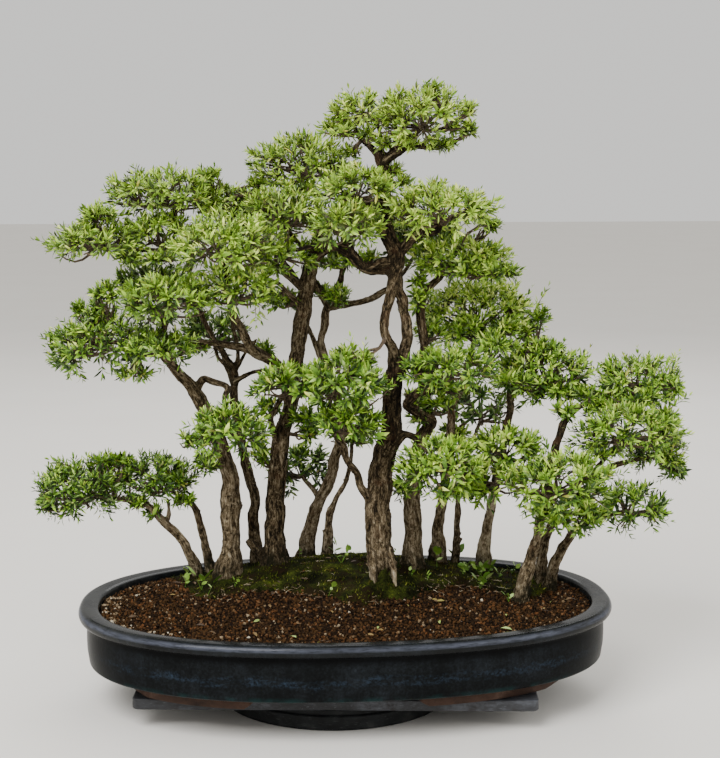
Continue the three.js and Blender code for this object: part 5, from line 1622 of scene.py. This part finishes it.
def makeDroppings():
    # fallen leaves: two pale ones on the granules in front, and small ones all about
    draw = np.random.default_rng(44)
    count = ground["dropped"]
    angle = draw.uniform(0, 2 * math.pi, count)
    share = draw.uniform(0, 0.96, count) ** 0.5
    x = np.cos(angle) * share * (pot["length"] / 2 - 34 * mm)
    y = np.sin(angle) * share * (pot["depth"] / 2 - 34 * mm)
    length = draw.uniform(8, 14, count) * mm
    mark = draw.uniform(0.0, 1.0, count) ** 2 * 0.8
    for i, (bx, by, size) in enumerate(bigDropped):
        x[i], y[i], length[i], mark[i] = bx * mm, by * mm, size * mm, 0.85 + 0.15 * (i < 2)
    at = np.column_stack([x, y, soilHeight(x, y) + 2.6 * mm])
    turn = draw.uniform(0, 2 * math.pi, count)
    along = np.column_stack([np.cos(turn), np.sin(turn), draw.uniform(-0.05, 0.3, count)])
    up = draw.normal(0, 0.3, (count, 3)) + (0, 0, 1)
    heap = Heap()
    shape = narrowLeaves[1]
    points = placed(shape, at, along, up, length, length * draw.uniform(0.32, 0.46, count), length)
    heap.add(shape, points, np.column_stack([mark, draw.random(count), np.zeros(count)]))
    dropped = Finish("droppedLeaves", Roughness=0.7)
    mark, _, _ = dropped.split(dropped.attribute("tone", "Vector"))
    mottle = dropped.noise(dropped.place(), 260, 3)
    body = dropped.ramp(mark, (0.0, 58, 42, 26), (0.3, 98, 74, 42), (0.55, 140, 116, 58),
                        (0.8, 132, 150, 66), (1.0, 164, 190, 110))
    dropped.set(Base_Color=dropped.mix((mottle - 0.4).kept() * 0.7, body, colour(70, 56, 32)))
    keep(heap.piece("dropped_leaves"), "leaf", [], [dropped])


makeWeeds()
makeDroppings()
print("ground plants made")


# stand: a flat grey board on a dark round turntable, and the two screens inside the pot
stand = {"discRadius": 165 * mm, "discHigh": 28.5 * mm, "discX": -17 * mm, "boardX": -12 * mm,
         "gap": 0.35 * mm,
         "board": (552 * mm, 330 * mm, 15.5 * mm), "corner": 10 * mm, "round": 2.4 * mm, "turn": -6,
         "discSides": 96, "meshPitch": 1600}
# the disc's section from its rim down: how far in, and how far below the top, in mm
discRim = [(0, 9), (1.2, 7.6), (4.2, 7.2), (4.6, 6), (4.6, 1.2), (5.8, 0)]


def makeBoard():
    bm = bmesh.new()
    bmesh.ops.create_cube(bm, size=1)
    bmesh.ops.scale(bm, vec=stand["board"], verts=bm.verts)
    upright = [e for e in bm.edges if abs(e.verts[0].co.z - e.verts[1].co.z) > 1 * mm]
    bmesh.ops.bevel(bm, geom=upright, offset=stand["corner"], segments=8, profile=0.5,
                    affect="EDGES", material=-1)
    rims = [e for e in bm.edges if e.is_manifold and e.calc_face_angle(0) > 1.2]
    bmesh.ops.bevel(bm, geom=rims, offset=stand["round"], segments=4, profile=0.5,
                    affect="EDGES", material=-1)
    turn = math.radians(stand["turn"])
    bmesh.ops.rotate(bm, verts=bm.verts, matrix=Matrix.Rotation(turn, 3, "Z"))
    level = stand["discHigh"] + stand["gap"] + stand["board"][2] / 2
    bmesh.ops.translate(bm, verts=bm.verts, vec=(stand["boardX"], 0, level))
    board = pieceFrom("board", bm, smooth=False)
    metal = Finish("weatheredBoard", Roughness=0.6, Specular_IOR_Level=0.25)
    place = metal.place()
    cloud = metal.noise(place, 9, 4, 0.6)
    scuff = metal.noise(metal.stretch(place, 1, 7, 3), 60, 4, 0.7)
    body = metal.ramp(cloud * 0.6 + scuff * 0.4, (0.32, 28, 28, 28), (0.5, 48, 49, 52),
                      (0.66, 84, 87, 94))
    grime = metal.noise(place, 34, 4, 0.65).step(0.52, 0.7)
    body = metal.mix(grime * 0.6, body, colour(40, 34, 30))
    scratch = metal.noise(metal.stretch(place, 0.6, 14, 14), 80, 2).step(0.66, 0.72)
    metal.set(Base_Color=metal.mix(scratch * 0.5, body, colour(112, 116, 122)), Roughness=0.5 + grime * 0.3)
    metal.bump(scuff, 0.0006, 0.5)
    keep(board, "board", ["stand_board"], [metal])


def makeTurntable():
    radius, high = stand["discRadius"], stand["discHigh"]
    profile = [(0, 0), (radius - 4 * mm, 0), (radius - 1 * mm, 1 * mm), (radius, 4 * mm)]
    profile += [(radius - inward * mm, high - down * mm) for inward, down in discRim] + [(0, high)]
    bm = bmesh.new()
    verts = [bm.verts.new((x, 0, z)) for x, z in profile]
    edges = [bm.edges.new(pair) for pair in zip(verts, verts[1:])]
    bmesh.ops.spin(bm, geom=verts + edges, cent=(0, 0, 0), axis=(0, 0, 1),
                   angle=2 * math.pi, steps=stand["discSides"],
                   use_merge=True, use_duplicate=False)
    bmesh.ops.remove_doubles(bm, verts=bm.verts, dist=0.01 * mm)
    bmesh.ops.translate(bm, verts=bm.verts, vec=(stand["discX"], 0, 0))
    disc = pieceFrom("turntable", bm, smooth=False)
    rubber = Finish("charcoalDisc", Roughness=0.55, Specular_IOR_Level=0.15)
    place = rubber.place()
    dust = rubber.noise(place, 46, 4, 0.6)
    wear = rubber.noise(rubber.stretch(place, 1, 1, 6), 120, 3).step(0.58, 0.7)
    body = rubber.ramp(dust, (0.35, 16, 17, 18), (0.55, 28, 30, 31), (0.72, 46, 47, 46))
    rubber.set(Base_Color=rubber.mix(wear * 0.35, body, colour(70, 71, 70)), Roughness=0.45 + dust * 0.3)
    rubber.bump(dust, 0.0005, 0.5)
    keep(disc, "turntable", ["turntable_disc"], [rubber])


def dressScreens():
    mesh = Finish("screenMesh", Roughness=0.6)
    x, y, _ = mesh.split(mesh.place())
    pitch = stand["meshPitch"]
    holes = (x.maths("SINE", x * pitch) * y.maths("SINE", y * pitch)).step(0.05, 0.2)
    mesh.set(Base_Color=mesh.mix(holes, colour(44, 50, 46), colour(10, 12, 11)))
    mesh.bump(holes * -1, 0.0006, 0.8)
    for side in ("left", "right"):
        screen = frame["nodes"]["drain_screen_" + side]
        screen.data.materials.clear()
        screen.data.materials.append(mesh.material)


makeBoard()
makeTurntable()
dressScreens()
print("stand made")
